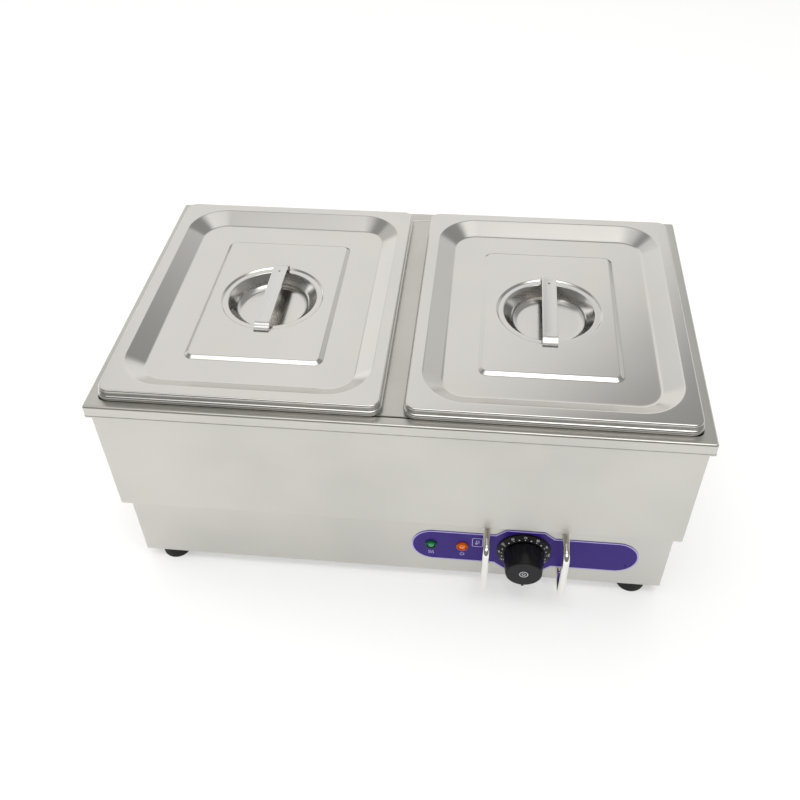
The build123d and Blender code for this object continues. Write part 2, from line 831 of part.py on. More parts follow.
wall_width = pan_rim_width - 2 * pan_rim_flange
wall_length = pan_rim_length - 2 * pan_rim_flange
rim_low = rim_top - pan_rim_drop

for side, x in pans.items():
    with BuildPart() as pan:
        # Rim with its turned-down edge
        with BuildSketch(Plane.XY.offset(rim_low)):
            with Locations((x, pan_y)):
                RectangleRounded(pan_rim_width, pan_rim_length, pan_rim_corner)
        extrude(amount=pan_rim_drop)
        fillet(pan.faces().sort_by(Axis.Z)[-1].edges(), lid_edge_radius)
        with BuildSketch(Plane.XY.offset(rim_low)):
            with Locations((x, pan_y)):
                RectangleRounded(
                    pan_rim_width - 2 * pan_sheet,
                    pan_rim_length - 2 * pan_sheet,
                    pan_rim_corner - pan_sheet,
                )
        extrude(amount=pan_rim_drop - pan_sheet, mode=Mode.SUBTRACT)
        # Leaning walls down to the floor
        for grow, mode in ((0, Mode.ADD), (pan_sheet, Mode.SUBTRACT)):
            with BuildSketch(Plane.XY.offset(rim_top - pan_depth + grow)):
                with Locations((x, pan_y)):
                    RectangleRounded(
                        wall_width - 2 * (pan_wall_lean + grow),
                        wall_length - 2 * (pan_wall_lean + grow),
                        pan_floor_corner - grow,
                    )
            with BuildSketch(Plane.XY.offset(rim_top)):
                with Locations((x, pan_y)):
                    RectangleRounded(
                        wall_width - 2 * grow, wall_length - 2 * grow, pan_wall_corner - grow
                    )
            loft(ruled=True, mode=mode)
    pan.part.label = f"food_pan_{side}"
    export_step(pan.part, f"parts/food_pan_{side}.step")

# --- Lids ---------------------------------------------------------------------------------

lid_width = pan_rim_width - 2 * lid_side_inset
lid_length = pan_rim_length - 2 * lid_end_inset
recess_width = lid_width - 2 * lid_flange
recess_length = lid_length - 2 * lid_flange
recess_floor = lid_top - lid_recess_depth
plateau_top = recess_floor + plateau_height


def bowl_profile(drop, grow):
    """Half section of the round bowl, from its floor up to the plateau."""
    top = plateau_top - drop
    return [
        (0, top),
        (bowl_rim_radius + grow, top),
        (bowl_rim_radius - bowl_step + grow, top - bowl_step),
        (bowl_radius + grow, top - bowl_step),
        (bowl_floor_radius + grow, top - bowl_depth),
        (0, top - bowl_depth),
    ]


for side, x in pans.items():
    lid_plane = Plane(origin=(x, pan_y, 0))
    with BuildPart() as lid:
        # Flange and its turned-down edge
        with BuildSketch(lid_plane.offset(lid_top - lid_skirt)):
            RectangleRounded(lid_width, lid_length, lid_corner)
        extrude(amount=lid_skirt)
        fillet(lid.faces().sort_by(Axis.Z)[-1].edges(), lid_edge_radius)
        with BuildSketch(lid_plane.offset(lid_top - lid_skirt)):
            RectangleRounded(
                lid_width - 2 * lid_sheet, lid_length - 2 * lid_sheet, lid_corner - lid_sheet
            )
        extrude(amount=lid_skirt - lid_sheet, mode=Mode.SUBTRACT)
        # Sloped band down to the recessed floor: the underside first, then the hollow
        for drop, mode in ((lid_sheet, Mode.ADD), (0, Mode.SUBTRACT)):
            with BuildSketch(lid_plane.offset(lid_top - drop)):
                RectangleRounded(recess_width, recess_length, lid_recess_corner)
            with BuildSketch(lid_plane.offset(recess_floor - drop)):
                RectangleRounded(
                    recess_width - 2 * lid_slope,
                    recess_length - 2 * lid_slope,
                    lid_recess_corner - lid_slope,
                )
            loft(ruled=True, mode=mode)
        # Raised plateau in the middle
        for drop, mode in ((0, Mode.ADD), (lid_sheet, Mode.SUBTRACT)):
            with BuildSketch(lid_plane.offset(recess_floor - drop)):
                RectangleRounded(plateau_width, plateau_length, plateau_corner)
            with BuildSketch(lid_plane.offset(plateau_top - drop)):
                RectangleRounded(
                    plateau_width - 2 * plateau_slope,
                    plateau_length - 2 * plateau_slope,
                    plateau_corner - plateau_slope,
                )
            loft(ruled=True, mode=mode)
        # Round bowl under the handle
        for drop, grow, mode in ((lid_sheet, bowl_side_grow, Mode.ADD), (0, 0, Mode.SUBTRACT)):
            with BuildSketch(Plane(origin=(x, pan_y, 0), x_dir=(1, 0, 0), z_dir=(0, -1, 0))):
                with BuildLine():
                    Polyline(*bowl_profile(drop, grow), close=True)
                make_face()
            revolve(axis=Axis((x, pan_y, 0), (0, 0, 1)), mode=mode)
    lid.part.label = f"lid_{side}"
    export_step(lid.part, f"parts/lid_{side}.step")

    strap_half = bowl_rim_radius + strap_foot
    strap_end = bowl_rim_radius - strap_slope
    strap_outline = [
        (-strap_half, 0),
        (-bowl_rim_radius, 0),
        (-strap_end, strap_rise),
        (strap_end, strap_rise),
        (bowl_rim_radius, 0),
        (strap_half, 0),
        (strap_half, strap_thickness),
        (bowl_rim_radius, strap_thickness),
        (strap_end, strap_rise + strap_thickness),
        (-strap_end, strap_rise + strap_thickness),
        (-bowl_rim_radius, strap_thickness),
        (-strap_half, strap_thickness),
    ]
    with BuildPart() as strap:
        with BuildSketch(Plane(origin=(x, pan_y, plateau_top), x_dir=(0, 1, 0), z_dir=(1, 0, 0))):
            with BuildLine():
                Polyline(*strap_outline, close=True)
            make_face()
        extrude(amount=strap_width / 2, both=True)
    strap.part.label = f"lid_handle_{side}"
    export_step(strap.part, f"parts/lid_handle_{side}.step")

# --- Heating element in the tank ----------------------------------------------------------

gland_points = [(element_right, y) for y in element_legs]
element_tip = tank_bottom - element_tail
element_run = -element_right
element_near = element_right - element_return
loop_bends = [element_leg_bend] * 3 + [element_bend] * 2 + [element_leg_bend] * 3

with BuildPart() as heating_element:
    with BuildLine() as element_path:
        FilletPolyline(
            (element_right, element_legs[0], element_tip),
            (element_right, element_legs[0], element_z),
            (element_near, element_legs[0], element_z),
            (element_near, element_front, element_z),
            (element_run, element_front, element_z),
            (element_run, element_back, element_z),
            (element_near, element_back, element_z),
            (element_near, element_legs[1], element_z),
            (element_right, element_legs[1], element_z),
            (element_right, element_legs[1], element_tip),
            radius=loop_bends,
        )
    with BuildSketch(Plane(origin=element_path.line @ 0, z_dir=element_path.line % 0)):
        Circle(element_radius)
    sweep()
heating_element.part.label = "heating_element"
export_step(heating_element.part, "parts/heating_element.step")

with BuildPart() as element_seals:
    with BuildSketch(Plane.XY.offset(tank_floor)):
        with Locations(*gland_points):
            Circle(gland_head_radius)
            Circle(gland_radius, mode=Mode.SUBTRACT)
    extrude(amount=seal_thickness)
element_seals.part.label = "element_seals"
export_step(element_seals.part, "parts/element_seals.step")

with BuildPart() as element_glands:
    gland_top = tank_floor + seal_thickness
    with BuildSketch(Plane.XY.offset(gland_top)):
        with Locations(*gland_points):
            Circle(gland_head_radius)
    extrude(amount=gland_head)
    with BuildSketch(Plane.XY.offset(gland_top)):
        with Locations(*gland_points):
            Circle(gland_radius)
    gland_stem = seal_thickness + sheet + gland_nut + gland_spare
    extrude(amount=-gland_stem)
    with BuildSketch(Plane.XY.offset(gland_top + gland_head)):
        with Locations(*gland_points):
            Circle(element_radius + shaft_clearance)
    extrude(amount=-(gland_head + gland_stem), mode=Mode.SUBTRACT)
element_glands.part.label = "element_glands"
export_step(element_glands.part, "parts/element_glands.step")

with BuildPart() as element_nuts:
    with BuildSketch(Plane.XY.offset(tank_bottom)):
        with Locations(*gland_points):
            RegularPolygon(gland_head_radius, 6, major_radius=False)
            Circle(gland_radius + shaft_clearance, mode=Mode.SUBTRACT)
    extrude(amount=-gland_nut)
element_nuts.part.label = "element_nuts"
export_step(element_nuts.part, "parts/element_nuts.step")

support_xs = [element_run / 2, 0, -element_run / 2]
with BuildPart() as element_supports:
    for run_y in (element_front, element_back):
        for support_x in support_xs:
            with BuildSketch(
                Plane(
                    origin=(support_x, run_y, element_z), x_dir=(0, 1, 0), z_dir=(1, 0, 0)
                )
            ):
                with Locations((0, (support_width / 2 - element_height) / 2)):
                    Rectangle(support_width, element_height + support_width / 2)
                Circle(element_radius + screw_clearance, mode=Mode.SUBTRACT)
            extrude(amount=support_sheet / 2, both=True)
element_supports.part.label = "element_supports"
export_step(element_supports.part, "parts/element_supports.step")

# --- Sensor bulb under the tank and its capillary -----------------------------------------

bulb_z = tank_bottom - bulb_drop
bulb_y = pan_y
bulb_right = dial_x - bulb_offset
with BuildPart() as sensor_bulb:
    with BuildSketch(Plane(origin=(bulb_right, bulb_y, bulb_z), z_dir=(-1, 0, 0))):
        Circle(bulb_radius)
    extrude(amount=bulb_length)
    fillet(sensor_bulb.edges(), bulb_radius / 2)
sensor_bulb.part.label = "sensor_bulb"
export_step(sensor_bulb.part, "parts/sensor_bulb.step")

with BuildPart() as bulb_clips:
    for share in clip_shares:
        clip_x = bulb_right - share * bulb_length
        with BuildSketch(
            Plane(origin=(clip_x, bulb_y, bulb_z), x_dir=(0, 1, 0), z_dir=(1, 0, 0))
        ):
            Circle(bulb_radius + screw_clearance + clip_wall)
            with Locations((0, bulb_drop / 2)):
                Rectangle(2 * (bulb_radius + screw_clearance + clip_wall), bulb_drop)
            Circle(bulb_radius + screw_clearance, mode=Mode.SUBTRACT)
        extrude(amount=clip_width / 2, both=True)
bulb_clips.part.label = "bulb_clips"
export_step(bulb_clips.part, "parts/bulb_clips.step")

with BuildPart() as capillary_tube:
    capillary_start = stat_face + stat_depth
    with BuildLine() as capillary_path:
        FilletPolyline(
            (dial_x, capillary_start, panel_z + stat_height / 3),
            (dial_x, capillary_start + capillary_out, panel_z + stat_height / 3),
            (dial_x, capillary_start + capillary_out + capillary_rise_run, bulb_z),
            (dial_x, bulb_y, bulb_z),
            (bulb_right, bulb_y, bulb_z),
            radius=capillary_bends,
        )
    with BuildSketch(Plane(origin=capillary_path.line @ 0, z_dir=capillary_path.line % 0)):
        Circle(capillary_radius)
    sweep()
capillary_tube.part.label = "capillary_tube"
export_step(capillary_tube.part, "parts/capillary_tube.step")

# --- Supply end: inlet, earth stud and terminal block -------------------------------------

inlet_hexes = inlet_hex + inlet_neck + inlet_cap
inlet_out = inlet_hexes + inlet_dome
with BuildPart() as cable_inlet:
    for start, length in ((0, inlet_hex), (inlet_hex + inlet_neck, inlet_cap)):
        with BuildSketch(back_plane.offset(start)):
            with Locations((-inlet_x, inlet_z)):
                RegularPolygon(inlet_hex_across / 2, 6, major_radius=False)
        extrude(amount=length)
    with BuildSketch(back_plane):
        with Locations((-inlet_x, inlet_z)):
            Circle(inlet_neck_radius)
    extrude(amount=inlet_hexes)
    # Domed end of the clamping nut
    for start, radius in ((inlet_hexes, inlet_dome_radius), (inlet_out, inlet_end_radius)):
        with BuildSketch(back_plane.offset(start)):
            with Locations((-inlet_x, inlet_z)):
                Circle(radius)
    loft()
    fillet(cable_inlet.faces().sort_by(Axis.Y)[-1].edges(), inlet_edge)
    with BuildSketch(back_plane):
        with Locations((-inlet_x, inlet_z)):
            Circle(inlet_thread_radius)
    extrude(amount=-inlet_thread)
    with BuildSketch(back_plane.offset(inlet_out)):
        with Locations((-inlet_x, inlet_z)):
            Circle(inlet_bore_radius)
    extrude(amount=-(inlet_out + inlet_thread), mode=Mode.SUBTRACT)
cable_inlet.part.label = "cable_inlet"
export_step(cable_inlet.part, "parts/cable_inlet.step")

with BuildPart() as inlet_nut:
    with BuildSketch(back_plane.offset(-sheet)):
        with Locations((-inlet_x, inlet_z)):
            RegularPolygon(inlet_hex_across / 2, 6, major_radius=False)
            Circle(inlet_thread_radius + shaft_clearance, mode=Mode.SUBTRACT)
    extrude(amount=-inlet_nut_height)
inlet_nut.part.label = "inlet_nut"
export_step(inlet_nut.part, "parts/inlet_nut.step")

with BuildPart() as earth_stud:
    with BuildSketch(back_plane.offset(stud_length / 2)):
        with Locations((-stud_x, inlet_z)):
            Circle(stud_radius)
    extrude(amount=-stud_length)
    chamfer(earth_stud.faces().sort_by(Axis.Y)[-1].edges(), stud_chamfer)
earth_stud.part.label = "earth_stud"
export_step(earth_stud.part, "parts/earth_stud.step")

with BuildPart() as earth_nuts:
    for plane, depth in (
        (back_plane, guard_nut_height),
        (back_plane.offset(-sheet), -guard_nut_height),
    ):
        with BuildSketch(plane):
            with Locations((-stud_x, inlet_z)):
                RegularPolygon(guard_nut_across / 2, 6, major_radius=False)
                Circle(stud_radius + shaft_clearance, mode=Mode.SUBTRACT)
        extrude(amount=depth)
earth_nuts.part.label = "earth_nuts"
export_step(earth_nuts.part, "parts/earth_nuts.step")

terminal_x = inlet_x - terminal_length
terminal_y = base_back - 3 * terminal_width
terminal_pitch = terminal_length / terminal_ways
terminal_row = [
    (terminal_x + (i - (terminal_ways - 1) / 2) * terminal_pitch, terminal_y)
    for i in range(terminal_ways)
]
with BuildPart() as terminal_block:
    with BuildSketch(Plane.XY.offset(base_bottom)):
        with Locations((terminal_x, terminal_y)):
            Rectangle(terminal_length, terminal_width)
    extrude(amount=terminal_height)
    fillet(terminal_block.edges().filter_by(Axis.Z), terminal_corner)
    with BuildSketch(Plane.XY.offset(base_bottom + terminal_height)):
        with Locations(*terminal_row):
            Circle(terminal_hole_radius + screw_clearance)
    extrude(amount=-terminal_height / 2, mode=Mode.SUBTRACT)
terminal_block.part.label = "terminal_block"
export_step(terminal_block.part, "parts/terminal_block.step")

with BuildPart() as terminal_screws:
    with BuildSketch(Plane.XY.offset(base_bottom + terminal_height / 2)):
        with Locations(*terminal_row):
            Circle(terminal_hole_radius)
    extrude(amount=terminal_height / 4)
terminal_screws.part.label = "terminal_screws"
export_step(terminal_screws.part, "parts/terminal_screws.step")

# --- Internal leads -----------------------------------------------------------------------

lead_z = base_bottom + lead_height
block_front = terminal_y - terminal_width / 2
block_back = terminal_y + terminal_width / 2
blade_y = stat_face + stat_depth + blade_length
blade_xs = [dial_x - stat_width / 4, dial_x + stat_width / 4]
lamp_back = overlay_face + lamp_body_length
way_x = [x for x, y in terminal_row]
aisle_y = block_front - lead_run

lead_routes = [
    # Terminal block to the thermostat's live blade
    [
        (way_x[1], block_front, lead_z),
        (way_x[1], aisle_y, lead_z),
        (blade_xs[0], blade_y + 2 * lead_run, lead_z + lead_run / 4),
        (blade_xs[0], blade_y + lead_run / 2, panel_z),
        (blade_xs[0], blade_y, panel_z),
    ],
    # Thermostat's switched blade to the near leg of the element
    [
        (blade_xs[1], blade_y, panel_z),
        (blade_xs[1], blade_y + lead_run / 2, panel_z),
        (element_right, element_legs[0] - lead_run / 2, panel_z),
        (element_right, element_legs[0], element_tip - lead_run / 2),
        (element_right, element_legs[0], element_tip),
    ],
    # Terminal block to the far leg of the element
    [
        (way_x[3], block_front, lead_z),
        (way_x[3], aisle_y, lead_z),
        (element_right, element_legs[1] + lead_run / 2, lead_z + lead_run / 2),
        (element_right, element_legs[1], element_tip - lead_run / 2),
        (element_right, element_legs[1], element_tip),
    ],
    # Terminal block to the earth stud
    [
        (way_x[4], block_back, lead_z),
        (way_x[4], block_back + lead_run / 2, lead_z),
        (stud_x, base_back - stud_length / 2 - lead_run / 2, inlet_z),
        (stud_x, base_back - stud_length / 2, inlet_z),
    ],
]
# Terminal block to the two lamps, one lead above the other
for level, x in enumerate(lamp_xs.values()):
    lead_level = lead_z + 2 * level * lead_spread
    lead_routes.append(
        [
            (way_x[0], block_front, lead_level),
            (way_x[0], aisle_y, lead_level),
            (x, lamp_back + 2 * lead_run, lead_level),
            (x, lamp_back + lead_run / 2, lamp_z),
            (x, lamp_back, lamp_z),
        ]
    )

with BuildPart() as internal_leads:
    for route in lead_routes:
        with BuildLine() as lead_path:
            FilletPolyline(*route, radius=lead_bend)
        with BuildSketch(Plane(origin=lead_path.line @ 0, z_dir=lead_path.line % 0)):
            Circle(lead_radius)
        sweep(path=lead_path.line)
internal_leads.part.label = "internal_leads"
export_step(internal_leads.part, "parts/internal_leads.step")
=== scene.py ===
import json
import math

import bmesh
import bpy
from mathutils import Matrix, Vector


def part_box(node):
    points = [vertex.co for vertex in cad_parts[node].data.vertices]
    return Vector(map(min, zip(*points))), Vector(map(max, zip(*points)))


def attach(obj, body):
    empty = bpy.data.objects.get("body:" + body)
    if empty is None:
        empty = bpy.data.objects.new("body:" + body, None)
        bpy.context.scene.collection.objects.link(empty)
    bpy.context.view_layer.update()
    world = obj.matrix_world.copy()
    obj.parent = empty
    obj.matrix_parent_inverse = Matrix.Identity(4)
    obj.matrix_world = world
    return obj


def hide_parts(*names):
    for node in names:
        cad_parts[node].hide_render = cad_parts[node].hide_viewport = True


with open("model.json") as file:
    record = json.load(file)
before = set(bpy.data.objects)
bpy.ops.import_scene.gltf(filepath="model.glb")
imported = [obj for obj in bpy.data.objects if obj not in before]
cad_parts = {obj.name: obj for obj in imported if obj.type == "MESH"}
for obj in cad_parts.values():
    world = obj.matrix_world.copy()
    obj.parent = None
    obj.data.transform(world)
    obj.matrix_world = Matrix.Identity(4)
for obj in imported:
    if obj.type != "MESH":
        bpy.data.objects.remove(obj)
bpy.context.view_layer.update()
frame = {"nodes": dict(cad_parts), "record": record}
nodes = frame["nodes"]
print("frame loaded,", len(nodes), "nodes")


def middleOf(node):
    low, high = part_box(node)
    return (low + high) / 2


def sizeOf(node):
    low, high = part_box(node)
    return high - low


# ---- shader wiring


class Wire:
    # a socket, or the tree it lives in, that can be added and scaled like a number
    def __init__(self, tree, socket=None):
        self.tree = tree
        self.socket = socket

    def add(self, kind, settings=None, values=None, output=0):
        made = self.tree.nodes.new(kind)
        for key, value in (settings or {}).items():
            if key == "stops":
                stops = made.color_ramp.elements
                while len(stops) < len(value):
                    stops.new(0.5)
                for stop, (place, colour) in zip(stops, value):
                    stop.position = place
                    stop.color = colour
            else:
                setattr(made, key, value)
        for key, value in (values or {}).items():
            if isinstance(value, Wire):
                self.tree.links.new(value.socket, made.inputs[key])
            else:
                made.inputs[key].default_value = value
        return Wire(self.tree, made.outputs[output])

    def sum(self, operation, first, second):
        return self.add("ShaderNodeMath", {"operation": operation}, {0: first, 1: second})

    def __add__(self, other):
        return self.sum("ADD", self, other)

    def __sub__(self, other):
        return self.sum("SUBTRACT", self, other)

    def __mul__(self, other):
        return self.sum("MULTIPLY", self, other)

    def __neg__(self):
        return self.sum("MULTIPLY", self, -1.0)

    def __rsub__(self, other):
        return self.sum("SUBTRACT", other, self)

    __radd__ = __add__

    def clipped(self):
        return self.add("ShaderNodeClamp", None, {0: self})

    def blend(self, low, high):
        # this mask mixes two colours
        return self.add(
            "ShaderNodeMix", {"data_type": "RGBA"}, {0: self, 6: low, 7: high}, 2
        )


def newFinish(name):
    made = bpy.data.materials.new(name)
    made.use_nodes = True
    shader = made.node_tree.nodes["Principled BSDF"]
    return made, shader, Wire(made.node_tree)


def placed(tree, scale):
    # object coordinates, stretched along the axes
    where = tree.add("ShaderNodeTexCoord", output=3)
    return tree.add("ShaderNodeMapping", {"vector_type": "POINT"}, {0: where, 3: scale})


def noise(tree, scale, size, detail, roughness):
    return tree.add(
        "ShaderNodeTexNoise",
        None,
        {
            "Vector": placed(tree, scale),
            "Scale": size,
            "Detail": detail,
            "Roughness": roughness,
        },
    )


def feed(tree, wire, socket):
    tree.tree.links.new(wire.socket, socket)


def bumped(tree, shader, height, strength, distance):
    values = {"Strength": strength, "Distance": distance, "Height": height}
    bump = tree.add("ShaderNodeBump", None, values)
    feed(tree, bump, shader.inputs["Normal"])


# ---- finishes

steels = {
    # slot: colour, roughness, how blotchy, grain along X Y Z, grain depth, waviness
    "brushed_casing": ((0.600, 0.588, 0.552), 0.34, 0.07, (3, 3, 260), 0.16, 0.10),
    "bottom_sheet": ((0.60, 0.60, 0.59), 0.42, 0.08, (3, 200, 200), 0.10, 0.05),
    "tank_steel": ((0.62, 0.61, 0.59), 0.30, 0.08, (4, 4, 160), 0.10, 0.08),
    "polished_steel": ((0.66, 0.645, 0.62), 0.17, 0.04, (2, 160, 160), 0.05, 0.10),
    "pan_steel": ((0.64, 0.63, 0.605), 0.16, 0.04, (2, 160, 160), 0.05, 0.08),
    "handle_steel": ((0.69, 0.68, 0.66), 0.27, 0.04, (160, 3, 160), 0.05, 0.05),
    "zinc_fasteners": ((0.60, 0.60, 0.60), 0.34, 0.06, (90, 90, 90), 0.10, 0.0),
    "shaft_steel": ((0.55, 0.55, 0.55), 0.30, 0.04, (200, 20, 200), 0.10, 0.0),
    "element_sheath": ((0.36, 0.34, 0.31), 0.38, 0.25, (60, 60, 60), 0.10, 0.0),
    "gland_brass": ((0.74, 0.55, 0.26), 0.28, 0.10, (90, 90, 90), 0.08, 0.0),
    "probe_copper": ((0.72, 0.40, 0.26), 0.32, 0.15, (60, 60, 60), 0.08, 0.0),
    "bright_rod": ((0.86, 0.84, 0.80), 0.07, 0.03, (30, 30, 30), 0.03, 0.0),
}


steelLook = {
    "cloud": 7.0,
    "warm": 13.0,
    "lines": 9.0,
    "fineLines": 34.0,
    "waves": 5.0,
    "lightShare": 0.6,
    "redShare": 0.20,
    "blueShare": 0.45,
    "glossShare": 0.9,
    "cloudGloss": 0.10,
    "fineShare": 0.6,
    "waveHeight": 24,
    "bump": (0.35, 0.0004),
}


def steelFinish(name, colour, rough, blotch, grain, depth, wave):
    made, shader, tree = newFinish(name)
    look = steelLook
    cloud = noise(tree, (1, 1, 1), look["cloud"], 2.0, 0.5)
    warm = noise(tree, (1.3, 1.0, 1.6), look["warm"], 3.0, 0.5)
    lines = noise(tree, grain, look["lines"], 2.0, 0.6)
    fine = noise(tree, grain, look["fineLines"], 2.0, 0.6)
    red, green, blue = colour
    dark = tuple(c * (1 - blotch) for c in colour) + (1,)
    light = tuple(min(1.0, c * (1 + look["lightShare"] * blotch)) for c in colour) + (1,)
    warmer, cooler = 1 + look["redShare"] * blotch, 1 - look["blueShare"] * blotch
    tint = (red * warmer, green, blue * cooler, 1)
    body = ((cloud - 0.35) * 2.6).clipped().blend(dark, light)
    body = ((warm - 0.52) * 3.0).clipped().blend(body, tint)
    feed(tree, body, shader.inputs["Base Color"])
    gloss = rough + (lines - 0.5) * depth * look["glossShare"]
    gloss = gloss + (cloud - 0.5) * look["cloudGloss"] * rough
    feed(tree, gloss, shader.inputs["Roughness"])
    shader.inputs["Metallic"].default_value = 1.0
    height = fine * depth * look["fineShare"] + lines * depth
    if wave:
        waves = noise(tree, (1, 1, 1), look["waves"], 1.0, 0.4)
        height = height + waves * wave * look["waveHeight"]
    bumped(tree, shader, height, *look["bump"])
    return made


plastics = {
    # slot: colour, roughness, grain size, grain depth, how much the colour varies
    "foot_rubber": ((0.014, 0.014, 0.015), 0.62, 900, 0.35, 0.4),
    "knob_plastic": ((0.006, 0.006, 0.007), 0.34, 1500, 0.14, 0.3),
    "dial_plastic": ((0.006, 0.006, 0.008), 0.38, 1500, 0.14, 0.3),
    "insert_grey": ((0.62, 0.63, 0.66), 0.30, 900, 0.05, 0.1),
    "stat_case": ((0.70, 0.66, 0.56), 0.45, 700, 0.20, 0.1),
    "lamp_shell": ((0.02, 0.02, 0.02), 0.30, 900, 0.08, 0.2),
    "inlet_plastic": ((0.017, 0.017, 0.018), 0.48, 800, 0.25, 0.3),
    "terminal_plastic": ((0.76, 0.74, 0.68), 0.40, 700, 0.10, 0.1),
    "lead_sleeve": ((0.62, 0.60, 0.54), 0.55, 900, 0.35, 0.2),
    "seal_rubber": ((0.40, 0.07, 0.045), 0.55, 700, 0.20, 0.2),
    "overlay_film": ((0.040, 0.013, 0.215), 0.30, 1300, 0.08, 0.10),
}


plasticLook = {"mottle": 40.0, "sheenShare": 0.12, "shine": 0.22, "bump": (0.3, 0.0003)}


def plasticFinish(name, colour, rough, grain, depth, vary):
    made, shader, tree = newFinish(name)
    mottle = noise(tree, (1, 1, 1), plasticLook["mottle"], 3.0, 0.6)
    dark = tuple(c * (1 - vary) for c in colour) + (1,)
    light = tuple(min(1.0, c * (1 + vary)) for c in colour) + (1,)
    feed(tree, mottle.blend(dark, light), shader.inputs["Base Color"])
    sheen = rough + (mottle - 0.5) * plasticLook["sheenShare"]
    feed(tree, sheen, shader.inputs["Roughness"])
    shader.inputs["Specular IOR Level"].default_value = plasticLook["shine"]
    height = noise(tree, (1, 1, 1), grain, 2.0, 0.6) * depth
    bumped(tree, shader, height, *plasticLook["bump"])
    return made


lensLook = {"facet": 620.0, "deep": 0.35, "glow": 0.55, "roughness": 0.12, "coat": 0.6}


def lampFinish(name, colour, glow):
    # clear moulded plastic with facets inside that catch the light
    made, shader, tree = newFinish(name)
    facets = tree.add(
        "ShaderNodeTexVoronoi",
        {"feature": "DISTANCE_TO_EDGE"},
        {"Vector": placed(tree, (1, 1, 1)), "Scale": lensLook["facet"]},
    )
    spark = (facets * 5.0).clipped()
    deep = tuple(c * lensLook["deep"] for c in colour) + (1,)
    feed(tree, spark.blend(deep, colour + (1,)), shader.inputs["Base Color"])
    feed(tree, spark.blend((0, 0, 0, 1), glow + (1,)), shader.inputs["Emission Color"])
    shader.inputs["Emission Strength"].default_value = lensLook["glow"]
    shader.inputs["Roughness"].default_value = lensLook["roughness"]
    shader.inputs["Coat Weight"].default_value = lensLook["coat"]
    bumped(tree, shader, spark, 0.25, 0.0004)
    return made


printLook = {"wear": 300.0, "faded": 0.86, "roughness": 0.34, "roughShare": 0.12}


def printFinish(name, colour):
    made, shader, tree = newFinish(name)
    wear = noise(tree, (1, 1, 1), printLook["wear"], 3.0, 0.6)
    faded = tuple(c * printLook["faded"] for c in colour) + (1,)
    feed(tree, wear.blend(faded, colour + (1,)), shader.inputs["Base Color"])
    rough = printLook["roughness"] + wear * printLook["roughShare"]
    feed(tree, rough, shader.inputs["Roughness"])
    return made


finishes = {slot: steelFinish(slot, *look) for slot, look in steels.items()}
finishes.update({slot: plasticFinish(slot, *look) for slot, look in plastics.items()})
finishes["green_lens"] = lampFinish("green_lens", (0.005, 0.26, 0.10), (0.0, 0.16, 0.055))
finishes["orange_lens"] = lampFinish("orange_lens", (0.85, 0.20, 0.015), (0.75, 0.17, 0.01))
finishes["green_bezel"] = plasticFinish(
    "green_bezel", (0.006, 0.075, 0.035), 0.22, 900, 0.05, 0.2
)
finishes["orange_bezel"] = plasticFinish(
    "orange_bezel", (0.55, 0.10, 0.012), 0.22, 900, 0.05, 0.15
)
finishes["lavender_print"] = printFinish("lavender_print", (0.55, 0.49, 0.90))
finishes["white_print"] = printFinish("white_print", (0.80, 0.80, 0.80))
print("finishes made,", len(finishes))

slotOf = {part["node"]: part["material_slot"] for part in frame["record"]["subparts"]}
for nodeName, node in nodes.items():
    node.data.materials.clear()
    node.data.materials.append(finishes[slotOf[nodeName]])

# ---- modelling helpers


def clearPick():
    if bpy.context.mode != "OBJECT":
        bpy.ops.object.mode_set(mode="OBJECT")
    bpy.ops.object.select_all(action="DESELECT")


def useOnly(piece):
    clearPick()
    piece.select_set(True)
    bpy.context.view_layer.objects.active = piece


def startMesh(name):
    # an empty mesh, open in edit mode
    clearPick()
    bpy.ops.mesh.primitive_plane_add(size=1)
    piece = bpy.context.object
    piece.name = name
    piece.data.name = name
    bpy.ops.object.mode_set(mode="EDIT")
    bpy.ops.mesh.select_mode(type="VERT")
    bpy.ops.mesh.select_all(action="SELECT")
    bpy.ops.mesh.delete(type="VERT")
    return piece


def pick(piece, mode, wanted):
    # selects the parts of the mesh for which wanted(part) holds
    work = bmesh.from_edit_mesh(piece.data)
    bpy.ops.mesh.select_mode(type=mode)
    bpy.ops.mesh.select_all(action="DESELECT")
    parts = {"VERT": work.verts, "EDGE": work.edges, "FACE": work.faces}[mode]
    for part in parts:
        if wanted(part):
            part.select = True
    work.select_flush_mode()
    bmesh.update_edit_mesh(piece.data)


def bentPath(corners, steps):
    # points of a section line whose inner corners are rounded to their third number
    path = [Vector(corners[0][:2])]
    for before, here, after in zip(corners, corners[1:], corners[2:]):
        point = Vector(here[:2])
        back = Vector(before[:2]) - point
        ahead = Vector(after[:2]) - point
        half = back.angle(ahead) / 2
        reach = min(here[2] / math.tan(half), 0.48 * back.length, 0.48 * ahead.length)
        radius = reach * math.tan(half)
        back.normalize()
        ahead.normalize()
        centre = point + (back + ahead).normalized() * radius / math.sin(half)
        first = point + back * reach - centre
        last = point + ahead * reach - centre
        for i in range(steps + 1):
            share = i / steps
            path.append(centre + (first * (1 - share) + last * share).normalized() * radius)
    path.append(Vector(corners[-1][:2]))
    return path


def outlineRows(centre, width, depth, corner, path):
    # rounded rectangles, one for each point of a section line of (inset, height)
    return [
        (centre, width - 2 * inset, depth - 2 * inset, max(corner - inset, 0.0004), height)
        for inset, height in path
    ]


def roundRows(centre, path):
    return [(centre, radius, None, None, height) for radius, height in path]


